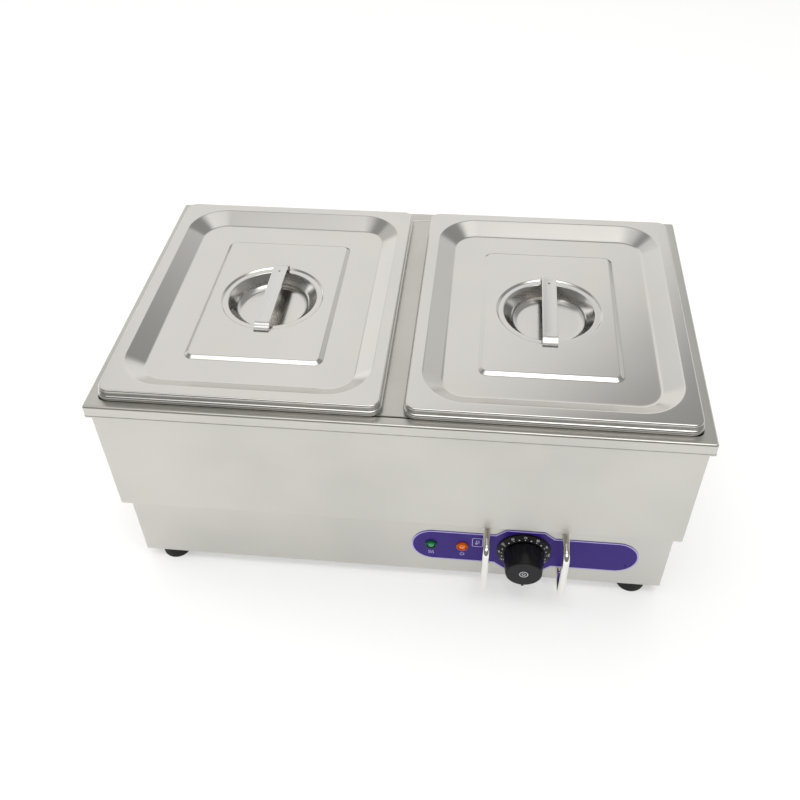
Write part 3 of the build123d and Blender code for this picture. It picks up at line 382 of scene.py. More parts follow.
def addRow(row, steps, height):
    centre, width, depth, corner = row[:4]
    place = (centre[0], centre[1], height)
    bpy.ops.mesh.select_all(action="DESELECT")
    if depth is None:
        count = 4 * (steps + 1)
        bpy.ops.mesh.primitive_circle_add(vertices=count, radius=width, location=place)
        bpy.ops.transform.rotate(
            value=math.pi / count, orient_axis="Z", center_override=place
        )
    else:
        bpy.ops.mesh.primitive_plane_add(size=1, location=place)
        bpy.ops.transform.resize(value=(width, depth, 1), center_override=place)
        bpy.ops.mesh.bevel(affect="VERTICES", offset=corner, segments=steps)
        bpy.ops.mesh.delete(type="ONLY_FACE")


towerStep = 0.05
weldGap = 0.00001


def markRow(piece, number):
    # vertices that carry no row number yet belong to this row
    work = bmesh.from_edit_mesh(piece.data)
    rowOf = work.verts.layers.int.get("row") or work.verts.layers.int.new("row")
    for corner in work.verts:
        if corner[rowOf] == 0:
            corner[rowOf] = number
    bmesh.update_edit_mesh(piece.data)
    return work.verts.layers.int.get("row")


def addShell(name, rows, steps, closed=True):
    # outlines stacked as a tower and joined one to the next,
    # then each moved to its own height
    piece = startMesh(name)
    for number, row in enumerate(rows, 1):
        addRow(row, steps, number * towerStep)
        rowOf = markRow(piece, number)
        if number > 1:
            pick(piece, "VERT", lambda v: v[rowOf] >= number - 1)
            bpy.ops.mesh.bridge_edge_loops()
    for number, row in enumerate(rows, 1):
        pick(piece, "VERT", lambda v: v[rowOf] == number)
        bpy.ops.transform.translate(value=(0, 0, row[4] - number * towerStep))
    if closed:
        pick(piece, "VERT", lambda v: v[rowOf] == len(rows))
        bpy.ops.mesh.edge_face_add()
    return piece


def faceUp(piece):
    # makes the faces agree, and turns them all if they look down on the whole
    bpy.ops.mesh.select_mode(type="FACE")
    bpy.ops.mesh.select_all(action="SELECT")
    bpy.ops.mesh.normals_make_consistent(inside=False)
    work = bmesh.from_edit_mesh(piece.data)
    if sum(face.calc_area() * face.normal.z for face in work.faces) < 0:
        bpy.ops.mesh.flip_normals()


def applyAll(piece):
    useOnly(piece)
    for modifier in list(piece.modifiers):
        bpy.ops.object.modifier_apply(modifier=modifier.name)


def smoothed(piece, angle=34):
    useOnly(piece)
    bpy.ops.object.shade_smooth_by_angle(angle=math.radians(angle))
    even = piece.modifiers.new("even", "WEIGHTED_NORMAL")
    even.keep_sharp = True
    even.weight = 80
    applyAll(piece)


def thicken(piece, thickness):
    bpy.ops.object.mode_set(mode="OBJECT")
    wall = piece.modifiers.new("wall", "SOLIDIFY")
    wall.thickness = thickness
    wall.offset = -1
    wall.use_even_offset = True
    applyAll(piece)


def closeUp():
    # welds the mesh being edited into one closed skin
    bpy.ops.mesh.select_all(action="SELECT")
    bpy.ops.mesh.remove_doubles(threshold=weldGap)
    bpy.ops.mesh.normals_make_consistent(inside=False)
    bpy.ops.object.mode_set(mode="OBJECT")


def combine(piece, tool, operation):
    # cuts the tool out of the piece, or joins it on, and leaves no tool behind
    joint = piece.modifiers.new("joint", "BOOLEAN")
    joint.operation = operation
    joint.object = tool
    joint.solver = "EXACT"
    applyAll(piece)
    bpy.data.objects.remove(tool)


def roundEdges(piece, width, segments, angle):
    # a bevel on the edges sharper than the angle
    edge = piece.modifiers.new("edge", "BEVEL")
    edge.width = width
    edge.segments = segments
    edge.limit_method = "ANGLE"
    edge.angle_limit = math.radians(angle)


def placeInMesh():
    bpy.ops.object.transform_apply(location=True, rotation=True, scale=True)


def settle(piece, body, slot, *replaced, finish=None):
    # place goes into the mesh, then the piece gets its finish, the slot's own unless one is
    # named, and its body
    useOnly(piece)
    placeInMesh()
    piece.data.materials.clear()
    piece.data.materials.append(finishes[finish or slot])
    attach(piece, body)
    if replaced:
        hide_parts(*replaced)


# ---- lids

lid = {
    "sheet": 0.0007,
    "corner": 0.010,
    "edgeBend": 0.0016,
    "flange": 0.012,
    "recessCorner": 0.041,
    "recessDepth": 0.010,
    "slope": 0.018,
    "upperBend": 0.0035,
    "lowerBend": 0.0065,
    "plateau": (0.136, 0.200),
    "plateauCorner": 0.009,
    "plateauHeight": 0.0025,
    "plateauSlope": 0.004,
    "plateauBend": 0.0018,
    "bowlRim": 0.053,
    "bowlStep": 0.0015,
    "bowlRadius": 0.046,
    "bowlFloor": 0.036,
    "bowlDepth": 0.015,
    "bowlBend": 0.011,
    "bowlLip": 0.0016,
    "ringSlope": 0.0018,
    "floorShare": 0.35,
    "floorFall": 0.0001,
    "rimReach": 0.008,
    "lead": 0.003,
    "plateauLead": 0.002,
    "floorReach": 0.004,
    "plateauReach": 0.0015,
    "panGap": 0.0003,
    "cornerSteps": 12,
}


def makeLid(side):
    node = "lid_" + side
    low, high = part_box(node)
    centre, size, top = middleOf(node), sizeOf(node), high.z
    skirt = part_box("food_pan_" + side)[1].z + lid["panGap"]
    floor = top - lid["recessDepth"]
    plateau = floor + lid["plateauHeight"]
    recess = (size.x - 2 * lid["flange"], size.y - 2 * lid["flange"])
    rows = outlineRows(
        centre, size.x, size.y, lid["corner"],
        bentPath([(0, skirt), (0, top, lid["edgeBend"]), (lid["rimReach"], top)], 5),
    )
    rows += outlineRows(
        centre, *recess, lid["recessCorner"],
        bentPath(
            [
                (-lid["lead"], top),
                (0, top, lid["upperBend"]),
                (lid["slope"], floor, lid["lowerBend"]),
                (lid["slope"] + lid["floorReach"], floor),
            ],
            5,
        ),
    )
    rows += outlineRows(
        centre, *lid["plateau"], lid["plateauCorner"],
        bentPath(
            [
                (-lid["plateauLead"], floor),
                (0, floor, lid["plateauBend"]),
                (lid["plateauSlope"], plateau, lid["plateauBend"]),
                (lid["plateauSlope"] + lid["plateauReach"], plateau),
            ],
            3,
        ),
    )
    ringTop, bowlFloor = plateau - lid["bowlStep"], plateau - lid["bowlDepth"]
    bowl = bentPath(
        [
            (lid["bowlRim"] + lid["lead"], plateau),
            (lid["bowlRim"], plateau, lid["bowlLip"]),
            (lid["bowlRim"] - lid["ringSlope"], ringTop, lid["bowlLip"]),
            (lid["bowlRadius"], ringTop, lid["bowlLip"]),
            (lid["bowlFloor"], bowlFloor, lid["bowlBend"]),
            (lid["bowlFloor"] * lid["floorShare"], bowlFloor - lid["floorFall"]),
        ],
        5,
    )
    rows += roundRows(centre, bowl)
    piece = addShell("lidShell_" + side, rows, lid["cornerSteps"])
    faceUp(piece)
    thicken(piece, lid["sheet"])
    smoothed(piece, 40)
    settle(piece, side + "_lid", "polished_steel", node)


for side in ("left", "right"):
    makeLid(side)
print("lids made")

# ---- strap handles

strap = {
    "thickness": 0.0014,
    "foot": 0.003,
    "rise": 0.004,
    "slope": 0.004,
    "grooveHalf": 0.0026,
    "grooveDepth": 0.0005,
    "grooveEnd": 0.010,
    "holeRadius": 0.0011,
    "holeInset": 0.017,
    "bend": 0.0022,
    "edge": 0.00022,
    "reach": 0.0002,
}


def makeStrap(side):
    node = "lid_handle_" + side
    low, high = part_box(node)
    centre, size = middleOf(node), sizeOf(node)
    seat = low.z + strap["thickness"]
    half = size.y / 2
    piece = startMesh("strapHandle_" + side)
    middle = (centre.x, centre.y, seat)
    bpy.ops.mesh.primitive_plane_add(size=1, location=middle)
    bpy.ops.transform.resize(value=(size.x, size.y, 1), center_override=middle)
    footEnd = half - strap["foot"]
    slopeEnd = half - strap["foot"] - strap["slope"]
    grooveEnd = half - strap["foot"] - strap["slope"] - strap["grooveEnd"]
    for reach in (footEnd, slopeEnd, grooveEnd):
        for way in (-1, 1):
            line = (centre.x, centre.y + way * reach, seat)
            bpy.ops.mesh.select_all(action="SELECT")
            bpy.ops.mesh.bisect(plane_co=line, plane_no=(0, 1, 0))
    for across in (-2, -1, 1, 2):
        line = (centre.x + across * strap["grooveHalf"], centre.y, seat)
        bpy.ops.mesh.select_all(action="SELECT")
        bpy.ops.mesh.bisect(plane_co=line, plane_no=(1, 0, 0))
    near = strap["reach"]
    pick(piece, "VERT", lambda v: abs(v.co.y - centre.y) < slopeEnd + near)
    bpy.ops.transform.translate(value=(0, 0, strap["rise"]))
    pick(
        piece,
        "VERT",
        lambda v: abs(v.co.y - centre.y) < grooveEnd + near
        and abs(v.co.x - centre.x) < strap["grooveHalf"] + near,
    )
    bpy.ops.transform.translate(value=(0, 0, -strap["grooveDepth"]))
    pick(
        piece,
        "EDGE",
        lambda e: abs(e.verts[0].co.y - e.verts[1].co.y) < weldGap
        and slopeEnd - near < abs(e.verts[0].co.y - centre.y) < footEnd + near,
    )
    bpy.ops.mesh.bevel(offset=strap["bend"], segments=4)
    faceUp(piece)
    thicken(piece, strap["thickness"])
    hole = (centre.x, centre.y + half - strap["holeInset"], high.z)
    clearPick()
    bpy.ops.mesh.primitive_cylinder_add(
        vertices=24, radius=strap["holeRadius"], depth=strap["holeInset"], location=hole
    )
    combine(piece, bpy.context.object, "DIFFERENCE")
    roundEdges(piece, strap["edge"], 2, 50)
    smoothed(piece, 34)
    settle(piece, side + "_lid", "handle_steel", node)


for side in ("left", "right"):
    makeStrap(side)
print("strap handles made")

# ---- food pans

pan = {
    "sheet": 0.0007,
    "corner": 0.012,
    "edgeBend": 0.0022,
    "curl": 0.0022,
    "flange": 0.012,
    "drop": 0.0051,
    "wallCorner": 0.030,
    "upperBend": 0.003,
    "shoulderDrop": 0.013,
    "shoulderStep": 0.0014,
    "lean": 0.009,
    "shoulderBend": 0.0012,
    "shoulderFall": 0.001,
    "upperLean": 0.001,
    "floorBend": 0.010,
    "floorReach": 0.016,
    "rimReach": 0.007,
    "lead": 0.003,
    "cornerSteps": 10,
}


def makePan(side):
    node = "food_pan_" + side
    low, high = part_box(node)
    centre, size, top = middleOf(node), sizeOf(node), high.z
    floor = low.z + pan["sheet"]
    shoulder = top - pan["shoulderDrop"]
    rows = outlineRows(
        centre, size.x, size.y, pan["corner"],
        bentPath(
            [
                (pan["curl"], top - pan["drop"]),
                (0, top - pan["drop"], pan["curl"]),
                (0, top, pan["edgeBend"]),
                (pan["rimReach"], top),
            ],
            5,
        ),
    )
    wall = (size.x - 2 * pan["flange"], size.y - 2 * pan["flange"])
    rows += outlineRows(
        centre, *wall, pan["wallCorner"],
        bentPath(
            [
                (-pan["lead"], top),
                (0, top, pan["upperBend"]),
                (pan["upperLean"], shoulder, pan["shoulderBend"]),
                (
                    pan["upperLean"] + pan["shoulderStep"],
                    shoulder - pan["shoulderFall"],
                    pan["shoulderBend"],
                ),
                (pan["lean"], floor, pan["floorBend"]),
                (pan["lean"] + pan["floorReach"], floor),
            ],
            5,
        ),
    )
    piece = addShell("foodPan_" + side, rows, pan["cornerSteps"])
    faceUp(piece)
    thicken(piece, pan["sheet"])
    smoothed(piece, 40)
    settle(piece, side + "_pan", "pan_steel", node)


for side in ("left", "right"):
    makePan(side)
print("food pans made")

# ---- deck

deck = {
    "sheet": 0.0008,
    "corner": 0.0028,
    "edgeBend": 0.0022,
    "fold": 0.0018,
    "foldStep": 0.0004,
    "hem": 0.0026,
    "hemBend": 0.0006,
    "hemBendShare": 0.6,
    "hemRise": 0.0009,
    "stepBend": 0.0003,
    "rimReach": 0.006,
    "lead": 0.003,
    "openingFlange": 0.012,
    "openingBend": 0.0014,
    "openingCorner": 0.006,
    "rimOverlap": 0.0016,
    "cornerSteps": 4,
}


def makeDeck():
    low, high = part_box("deck")
    centre, size, top = middleOf("deck"), sizeOf("deck"), high.z
    panLow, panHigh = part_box("food_pan_left")[0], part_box("food_pan_right")[1]
    hole = (
        panHigh.x - panLow.x - 2 * deck["rimOverlap"],
        panHigh.y - panLow.y - 2 * deck["rimOverlap"],
    )
    holeCentre = (panLow + panHigh) / 2
    fold, step = low.z + deck["fold"], deck["foldStep"]
    rows = outlineRows(
        centre, size.x, size.y, deck["corner"],
        bentPath(
            [
                (deck["hem"], low.z + deck["hemRise"]),
                (deck["hem"] * deck["hemBendShare"], low.z, deck["hemBend"]),
                (0, low.z, deck["hemBend"]),
                (0, fold, deck["stepBend"]),
                (step, fold + step, deck["stepBend"]),
                (step, top, deck["edgeBend"]),
                (deck["rimReach"], top),
            ],
            4,
        ),
    )
    rows += outlineRows(
        holeCentre, *hole, deck["openingCorner"],
        bentPath(
            [
                (-deck["lead"], top),
                (0, top, deck["openingBend"]),
                (0, top - deck["openingFlange"]),
            ],
            4,
        ),
    )
    piece = addShell("deckSheet", rows, deck["cornerSteps"], closed=False)
    faceUp(piece)
    thicken(piece, deck["sheet"])
    smoothed(piece, 40)
    settle(piece, "unit", "brushed_casing", "deck")


makeDeck()
print("deck made")

weldBump = {"place": 0.0095, "below": 0.0022, "size": (0.0019, 0.0010, 0.0013)}


def makeWeldBump():
    # the dressed end of the apron's weld
    body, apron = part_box("upper_body")[0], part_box("deck")[0]
    clearPick()
    bpy.ops.mesh.primitive_ico_sphere_add(
        subdivisions=3,
        radius=1,
        location=(weldBump["place"], body.y, apron.z - weldBump["below"]),
    )
    piece = bpy.context.object
    piece.name = "weldBump"
    piece.scale = weldBump["size"]
    smoothed(piece)
    settle(piece, "unit", "brushed_casing")


makeWeldBump()

# ---- turned pieces


def addTurned(name, path, steps=11, closed=True):
    # a closed section line of (radius, height) turned about Z
    rows = roundRows((0, 0), list(path) + ([path[0]] if closed else []))
    piece = addShell(name, rows, steps, closed=not closed)
    closeUp()
    return piece


def faceFront(piece, x, y, z):
    # what pointed up now points out of the front
    piece.location = (x, y, z)
    piece.rotation_euler = (math.pi / 2, 0, 0)


foot = {
    "bore": 0.005,
    "boreDepth": 0.007,
    "screwHole": 0.0021,
    "base": 0.0152,
    "top": 0.0154,
    "edge": 0.0016,
    "lip": 0.0028,
    "lipStep": 0.0006,
}


def makeFoot(place):
    node = "foot_" + place
    centre, size = middleOf(node), sizeOf(node)
    lip = size.z - foot["lip"]
    path = bentPath(
        [
            (foot["screwHole"], foot["boreDepth"]),
            (foot["bore"], foot["boreDepth"], 0.0004),
            (foot["bore"], 0, 0.0005),
            (foot["base"], 0, foot["edge"]),
            (foot["top"] - foot["lipStep"], lip, 0.0005),
            (foot["top"], lip + foot["lipStep"], 0.0004),
            (foot["top"], size.z, 0.0005),
            (foot["screwHole"], size.z),
        ],
        4,
    )
    piece = addTurned("rubberFoot_" + place, path)
    piece.location = (centre.x, centre.y, 0)
    smoothed(piece, 40)
    settle(piece, "unit", "foot_rubber", node)


for place in ("front_left", "front_right", "rear_left", "rear_right"):
    makeFoot(place)
print("feet made")

# ---- control panel

overlayLow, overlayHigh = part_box("panel_overlay")
overlay = {
    "band": 0.046,
    "bulgeFoot": 0.058,
    "bulgeTop": 0.038,
    "line": 0.0015,
    "lift": 0.00012,
    "arcSteps": 64,
}
panelX = (overlayLow.x + overlayHigh.x) / 2
panelZ = (overlayLow.z + overlayHigh.z) / 2
dialX = middleOf("dial_plate").x


def liftPrint(height):
    # turns the flat print being edited into a thin raised layer
    bpy.ops.mesh.select_all(action="SELECT")
    bpy.ops.mesh.extrude_region_move(TRANSFORM_OT_translate={"value": (0, 0, height)})
    bpy.ops.mesh.select_all(action="SELECT")
    bpy.ops.mesh.normals_make_consistent(inside=False)
    bpy.ops.object.mode_set(mode="OBJECT")


def hollowPrint(line):
    # leaves only a line round the face being edited
    bpy.ops.mesh.inset(thickness=line)
    bpy.ops.mesh.delete(type="FACE")


def makeBorder():
    band, arcs = overlay["band"], overlay["arcSteps"]
    straight = overlayHigh.x - overlayLow.x - band
    piece = startMesh("panelBorder")
    bpy.ops.mesh.primitive_circle_add(vertices=arcs, radius=band / 2, fill_type="NGON")
    bpy.ops.transform.rotate(
        value=math.pi / arcs, orient_axis="Z", center_override=(0, 0, 0)
    )
    for way in (-1, 1):
        pick(piece, "VERT", lambda v: v.co.x * way > 0)
        bpy.ops.transform.translate(value=(way * straight / 2, 0, 0))
    bulgeHeight = (overlayHigh.z - overlayLow.z) / 2
    bulge = [
        (-overlay["bulgeFoot"] / 2, band / 2),
        (-overlay["bulgeTop"] / 2, bulgeHeight),
        (overlay["bulgeTop"] / 2, bulgeHeight),
        (overlay["bulgeFoot"] / 2, band / 2),
    ]
    for way in (-1, 1):
        pick(
            piece,
            "EDGE",
            lambda e: e.calc_length() > straight / 2 and e.verts[0].co.y * way > 0,
        )
        bpy.ops.mesh.subdivide(number_cuts=len(bulge))
        for number, (x, y) in enumerate(bulge):
            share = (number + 1) / (len(bulge) + 1) - 0.5
            start = share * straight
            pick(
                piece,
                "VERT",
                lambda v: abs(v.co.x - start) < straight / 20 and v.co.y * way > band / 4,
            )
            bpy.ops.transform.translate(value=(x - start, way * (y - band / 2), 0))
    bpy.ops.mesh.select_mode(type="FACE")
    bpy.ops.mesh.select_all(action="SELECT")
    hollowPrint(overlay["line"])
    liftPrint(overlay["lift"])
    faceFront(piece, panelX, overlayLow.y, panelZ)
    settle(piece, "unit", "overlay_film", finish="lavender_print")


makeBorder()

mark = {
    "x": 0.0838,
    "z": 0.0668,
    "size": 0.0112,
    "tall": 1.24,
    "corner": 0.0018,
    "line": 0.0007,
    "bulb": 0.0014,
    "bulbPlace": (-0.001, -0.0019, 0),
    "stem": 0.0010,
    "stemPlace": (-0.001, 0.0008, 0),
    "stemTall": 4.6,
    "ticks": 4,
    "tick": 0.0004,
    "tickWide": 4.4,
    "tickX": 0.0013,
    "firstTick": -0.0008,
    "tickStep": 0.0011,
}


def makeMark():
    # a rounded square with a thermometer in it
    piece = startMesh("warmthMark")
    bpy.ops.mesh.primitive_plane_add(size=mark["size"])
    bpy.ops.transform.resize(value=(1, mark["tall"], 1), center_override=(0, 0, 0))
    bpy.ops.mesh.bevel(affect="VERTICES", offset=mark["corner"], segments=5)
    bpy.ops.mesh.select_mode(type="FACE")
    hollowPrint(mark["line"])
    bpy.ops.mesh.primitive_circle_add(
        vertices=24, radius=mark["bulb"], fill_type="NGON", location=mark["bulbPlace"]
    )
    bpy.ops.mesh.primitive_plane_add(size=mark["stem"], location=mark["stemPlace"])
    bpy.ops.transform.resize(
        value=(1, mark["stemTall"], 1), center_override=mark["stemPlace"]
    )
    for step in range(mark["ticks"]):
        place = (mark["tickX"], mark["firstTick"] + mark["tickStep"] * step, 0)
        bpy.ops.mesh.primitive_plane_add(size=mark["tick"], location=place)
        bpy.ops.transform.resize(value=(mark["tickWide"], 1, 1), center_override=place)
    liftPrint(overlay["lift"])
    faceFront(piece, mark["x"], overlayLow.y, mark["z"])
    settle(piece, "unit", "overlay_film", finish="lavender_print")


makeMark()

lampSigns = {
    "drop": 0.0130,
    "line": 0.00060,
    "ring": 0.0024,
    "ringSteps": 40,
    "gap": 0.0009,
    "bar": 0.0027,
    "barPlace": 0.0018,
    "waveSway": 0.00055,
    "waveGap": 0.0021,
    "waveTall": 0.0046,
    "waveDot": 0.00072,
    "waveDots": 8,
}


def makePowerSign(x, z):
    piece = startMesh("powerSign")
    bpy.ops.mesh.primitive_circle_add(
        vertices=lampSigns["ringSteps"], radius=lampSigns["ring"], fill_type="NGON"
    )
    bpy.ops.mesh.select_mode(type="FACE")
    hollowPrint(lampSigns["line"])
    pick(
        piece,
        "FACE",
        lambda f: abs(f.calc_center_median().x) < lampSigns["gap"]
        and f.calc_center_median().y > 0,
    )
    bpy.ops.mesh.delete(type="FACE")
    place = (0, lampSigns["barPlace"], 0)
    bpy.ops.mesh.primitive_plane_add(size=lampSigns["line"], location=place)
    stretch = lampSigns["bar"] / lampSigns["line"]
    bpy.ops.transform.resize(value=(1, stretch, 1), center_override=place)
    liftPrint(overlay["lift"])
    faceFront(piece, x, overlayLow.y, z)
    settle(piece, "unit", "overlay_film", finish="lavender_print")


def makeHeatSign(x, z):
    # three rising waves
    piece = startMesh("heatSign")
    for column in (-1, 0, 1):
        for dot in range(lampSigns["waveDots"]):
            share = dot / (lampSigns["waveDots"] - 1)
            sway = lampSigns["waveSway"] * math.sin(share * 2 * math.pi)
            rise = (share - 0.5) * lampSigns["waveTall"]
            bpy.ops.mesh.primitive_plane_add(
                size=lampSigns["waveDot"],
                location=(column * lampSigns["waveGap"] + sway, rise, 0),
            )
    liftPrint(overlay["lift"])
    faceFront(piece, x, overlayLow.y, z)
    settle(piece, "unit", "overlay_film", finish="lavender_print")


lamp = {
    "core": 0.001,
    "barrel": 0.005,
    "depth": 0.024,
    "bezel": 0.0062,
    "bezelHeight": 0.0024,
    "mouth": 0.0046,
    "seat": 0.0020,
    "dome": 0.0026,
}


def makeLamp(kind, colour):
    middle = middleOf(kind + "_lamp_lens")
    path = bentPath(
        [
            (lamp["core"], -lamp["depth"]),
            (lamp["barrel"], -lamp["depth"], 0.0006),
            (lamp["barrel"], 0, 0.0001),
            (lamp["bezel"], 0, 0.0002),
            (lamp["bezel"], lamp["bezelHeight"] * 0.6, 0.0005),
            (lamp["bezel"] - 0.0008, lamp["bezelHeight"], 0.0005),
            (lamp["mouth"], lamp["bezelHeight"], 0.0003),
            (lamp["mouth"] - 0.0003, -lamp["seat"], 0.0003),
            (lamp["core"], -lamp["seat"]),
        ],
        4,
    )
    bezel = addTurned(kind + "LampBezel", path)
    faceFront(bezel, middle.x, overlayLow.y, middle.z)
    smoothed(bezel, 40)
    settle(bezel, "unit", "lamp_shell", kind + "_lamp_body", finish=colour + "_bezel")
    dome = bentPath(
        [
            (0.0003, -lamp["seat"]),
            (lamp["mouth"] - 0.0004, -lamp["seat"], 0.0002),
            (lamp["mouth"] - 0.0004, 0.0006, 0.0004),
            (lamp["mouth"] * 0.55, lamp["dome"] * 0.9, 0.0022),
            (0.0003, lamp["dome"]),
        ],
        6,
    )
    lens = addTurned(kind + "LampLens", dome)
    faceFront(lens, middle.x, overlayLow.y, middle.z)
    smoothed(lens, 50)
    settle(lens, "unit", colour + "_lens", kind + "_lamp_lens")
    return middle


heat = makeLamp("heat", "green")
power = makeLamp("power", "orange")
makeHeatSign(heat.x, heat.z - lampSigns["drop"])
makePowerSign(power.x, power.z - lampSigns["drop"])
print("overlay print and lamps made")

dial = {
    "radius": 0.0278,
    "edge": 0.0016,
    "inner": 0.0215,
    "height": 0.0045,
    "well": 0.020,
    "bore": 0.007,
    "firstTurn": -120,
    "lastTurn": 120,
    "figures": (30, 40, 50, 60, 70, 80, 90, 100, 110),
    "figureSize": 0.0034,
    "figurePlace": 0.0252,
    "dotPlace": 0.0229,
    "ink": 0.00010,
    # part of a step, size and number of sides of the dots between the figures
    "dots": ((0, 0.0007, 12), (0.5, 0.0011, 4)),
    "dotSpread": 1.3,
}


def makeDial():
    path = bentPath(
        [
            (dial["bore"], 0),
            (dial["radius"], 0, 0.0001),
            (dial["radius"], dial["edge"], 0.0005),
            (dial["inner"], dial["height"], 0.0006),
            (dial["well"], dial["height"], 0.0004),
            (dial["well"], dial["edge"], 0.0004),
            (dial["bore"], dial["edge"]),
        ],
        4,
    )
    piece = addTurned("dialRing", path, steps=17)
    faceFront(piece, dialX, overlayLow.y, panelZ)
    smoothed(piece, 30)
    settle(piece, "unit", "dial_plastic", "dial_plate")


def onDial(turn, radius):
    # matrix of a spot on the dial's cone, its up axis pointing outwards
    fall = (dial["height"] - dial["edge"]) / (dial["radius"] - dial["inner"])
    depth = dial["edge"] + (dial["radius"] - radius) * fall
    tilt = math.pi / 2 - math.atan(fall)
    around = math.radians(turn)
    place = Matrix.Translation(
        (
            dialX + radius * math.sin(around),
            overlayLow.y - depth,
            panelZ + radius * math.cos(around),
        )
    )
    return place @ Matrix.Rotation(around, 4, "Y") @ Matrix.Rotation(tilt, 4, "X")


def makeDialInk():
    parts = []
    count = len(dial["figures"])
    stepTurn = (dial["lastTurn"] - dial["firstTurn"]) / (count - 1)
    for number, figure in enumerate(dial["figures"]):
        turn = dial["firstTurn"] + stepTurn * number
        clearPick()
        bpy.ops.object.text_add()
        text = bpy.context.object
        text.data.body = str(figure)
        text.data.size = dial["figureSize"]
        text.data.align_x = "CENTER"
        text.data.align_y = "CENTER"
        text.data.extrude = dial["ink"] / 2
        text.data.resolution_u = 3
        bpy.ops.object.convert(target="MESH")
        text.matrix_world = onDial(turn, dial["figurePlace"])
        placeInMesh()
        parts.append(text)
        for share, size, sides in dial["dots"]:
            if number == count - 1 and share:
                continue
            clearPick()
            bpy.ops.mesh.primitive_cylinder_add(
                vertices=sides, radius=size / dial["dotSpread"], depth=dial["ink"]
            )
            dot = bpy.context.object
            dot.matrix_world = onDial(turn + share * stepTurn, dial["dotPlace"])
            placeInMesh()
            parts.append(dot)
    clearPick()
    for part in parts:
        part.select_set(True)
    bpy.context.view_layer.objects.active = parts[0]
    bpy.ops.object.join()
    parts[0].name = "dialFigures"
    settle(parts[0], "unit", "dial_plastic", finish="white_print")


makeDial()
makeDialInk()
print("dial made")

knob = {
    "radius": 0.0200,
    "face": 0.0182,
    "waist": 0.012,
    "edge": 0.0016,
    "flutes": 12,
    "fluteRadius": 0.0045,
    "fluteDepth": 0.0009,
    "fluteEdge": 0.0004,
    "nub": (0.0030, 0.0050, 0.0080),
    "nubInset": 0.0006,
    "nubEdge": 0.0009,
    "bore": 0.0035,
    "insertSeat": 0.0053,
    "insertDepth": 0.0008,
    "seatLean": 0.0003,
    "waistBend": 0.006,
    "ring": 0.0045,
    "ringLine": 0.0009,
    "dotShare": 0.42,
    "dotLineShare": 0.75,
    "markLift": 0.00015,
}


def makeKnob():
    low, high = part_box("knob")
    length = high.y - low.y
    path = bentPath(
        [
            (knob["bore"], 0),
            (knob["radius"], 0, 0.0006),
            (knob["radius"], knob["waist"], knob["waistBend"]),
            (knob["face"], length, knob["edge"]),
            (knob["insertSeat"] + knob["seatLean"], length, 0.0003),
            (knob["insertSeat"], length - knob["insertDepth"], 0.0002),
            (knob["bore"], length - knob["insertDepth"]),
        ],
        5,
    )
    piece = addTurned("dialKnob", path, steps=23)
    away = knob["radius"] + knob["fluteRadius"] - knob["fluteDepth"]
    for number in range(knob["flutes"]):
        turn = 2 * math.pi * (number + 0.5) / knob["flutes"]
        clearPick()
        bpy.ops.mesh.primitive_cylinder_add(
            vertices=48,
            radius=knob["fluteRadius"],
            depth=3 * length,
            location=(away * math.sin(turn), -away * math.cos(turn), 0),
        )
        combine(piece, bpy.context.object, "DIFFERENCE")
    clearPick()
    nubMiddle = length - knob["nub"][2] / 2 - knob["nubInset"]
    bpy.ops.mesh.primitive_cube_add(size=1, location=(0, -knob["face"], nubMiddle))
    nub = bpy.context.object
    nub.scale = knob["nub"]
    placeInMesh()
    roundEdges(nub, knob["nubEdge"], 4, 30)
    applyAll(nub)
    combine(piece, nub, "UNION")
    roundEdges(piece, knob["fluteEdge"], 2, 24)
    faceFront(piece, dialX, high.y, panelZ)
    smoothed(piece, 30)
    settle(piece, "knob_turning", "knob_plastic", "knob")
    dot, dotLine = knob["ring"] * knob["dotShare"], knob["ringLine"] * knob["dotLineShare"]
    for name, radius, line in (
        ("knobRing", knob["ring"], knob["ringLine"]),
        ("knobDot", dot, dotLine),
    ):
        ring = startMesh(name)
        bpy.ops.mesh.primitive_circle_add(vertices=48, radius=radius, fill_type="NGON")
        bpy.ops.mesh.select_mode(type="FACE")
        hollowPrint(line)
        liftPrint(knob["markLift"])
        faceFront(ring, dialX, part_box("knob_insert")[0].y, panelZ)
        settle(ring, "knob_turning", "insert_grey")


makeKnob()
# the insert is black, with only its ring and dot in grey
nodes["knob_insert"].data.materials[0] = finishes["knob_plastic"]
print("knob made")

guard = {"radius": 0.0035, "bend": 0.007, "sides": 32, "bendSteps": 10}


def makeGuard(side):
    node = "knob_guard_" + side
    low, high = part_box(node)
    x, r, bend = (low.x + high.x) / 2, guard["radius"], guard["bend"]
    front, top, bottom = low.y + r, high.z - r, low.z + r
    piece = startMesh("guardRod_" + side)
    bpy.ops.mesh.primitive_circle_add(
        vertices=guard["sides"],
        radius=r,
        location=(x, high.y, top),
        rotation=(math.pi / 2, 0, 0),
    )
    # out to the front, down and back in, with a quarter turn at each corner
    legs = [(0, front + bend - high.y, 0), (0, 0, bottom - top + 2 * bend)]
    legs.append((0, high.y - front - bend, 0))
    for leg, turnHeight in zip(legs, (top - bend, bottom + bend, None)):
        bpy.ops.mesh.extrude_region_move(TRANSFORM_OT_translate={"value": leg})
        if turnHeight is not None:
            bpy.ops.mesh.spin(
                steps=guard["bendSteps"],
                angle=-math.pi / 2,
                center=(x, front + bend, turnHeight),
                axis=(1, 0, 0),
            )
    pick(piece, "EDGE", lambda e: e.is_boundary)
    bpy.ops.mesh.edge_face_add()
    closeUp()
    smoothed(piece, 40)
    settle(piece, "unit", "bright_rod", node)


for side in ("left", "right"):
    makeGuard(side)
print("guards made")

# ---- floor, light and camera

room = {
    "floorSize": 12.0,
    "floorColour": (0.60, 0.60, 0.597, 1),
    "floorGlow": 0.40,
    "floorRoughness": 0.9,
    "floorSpecular": 0.1,
}


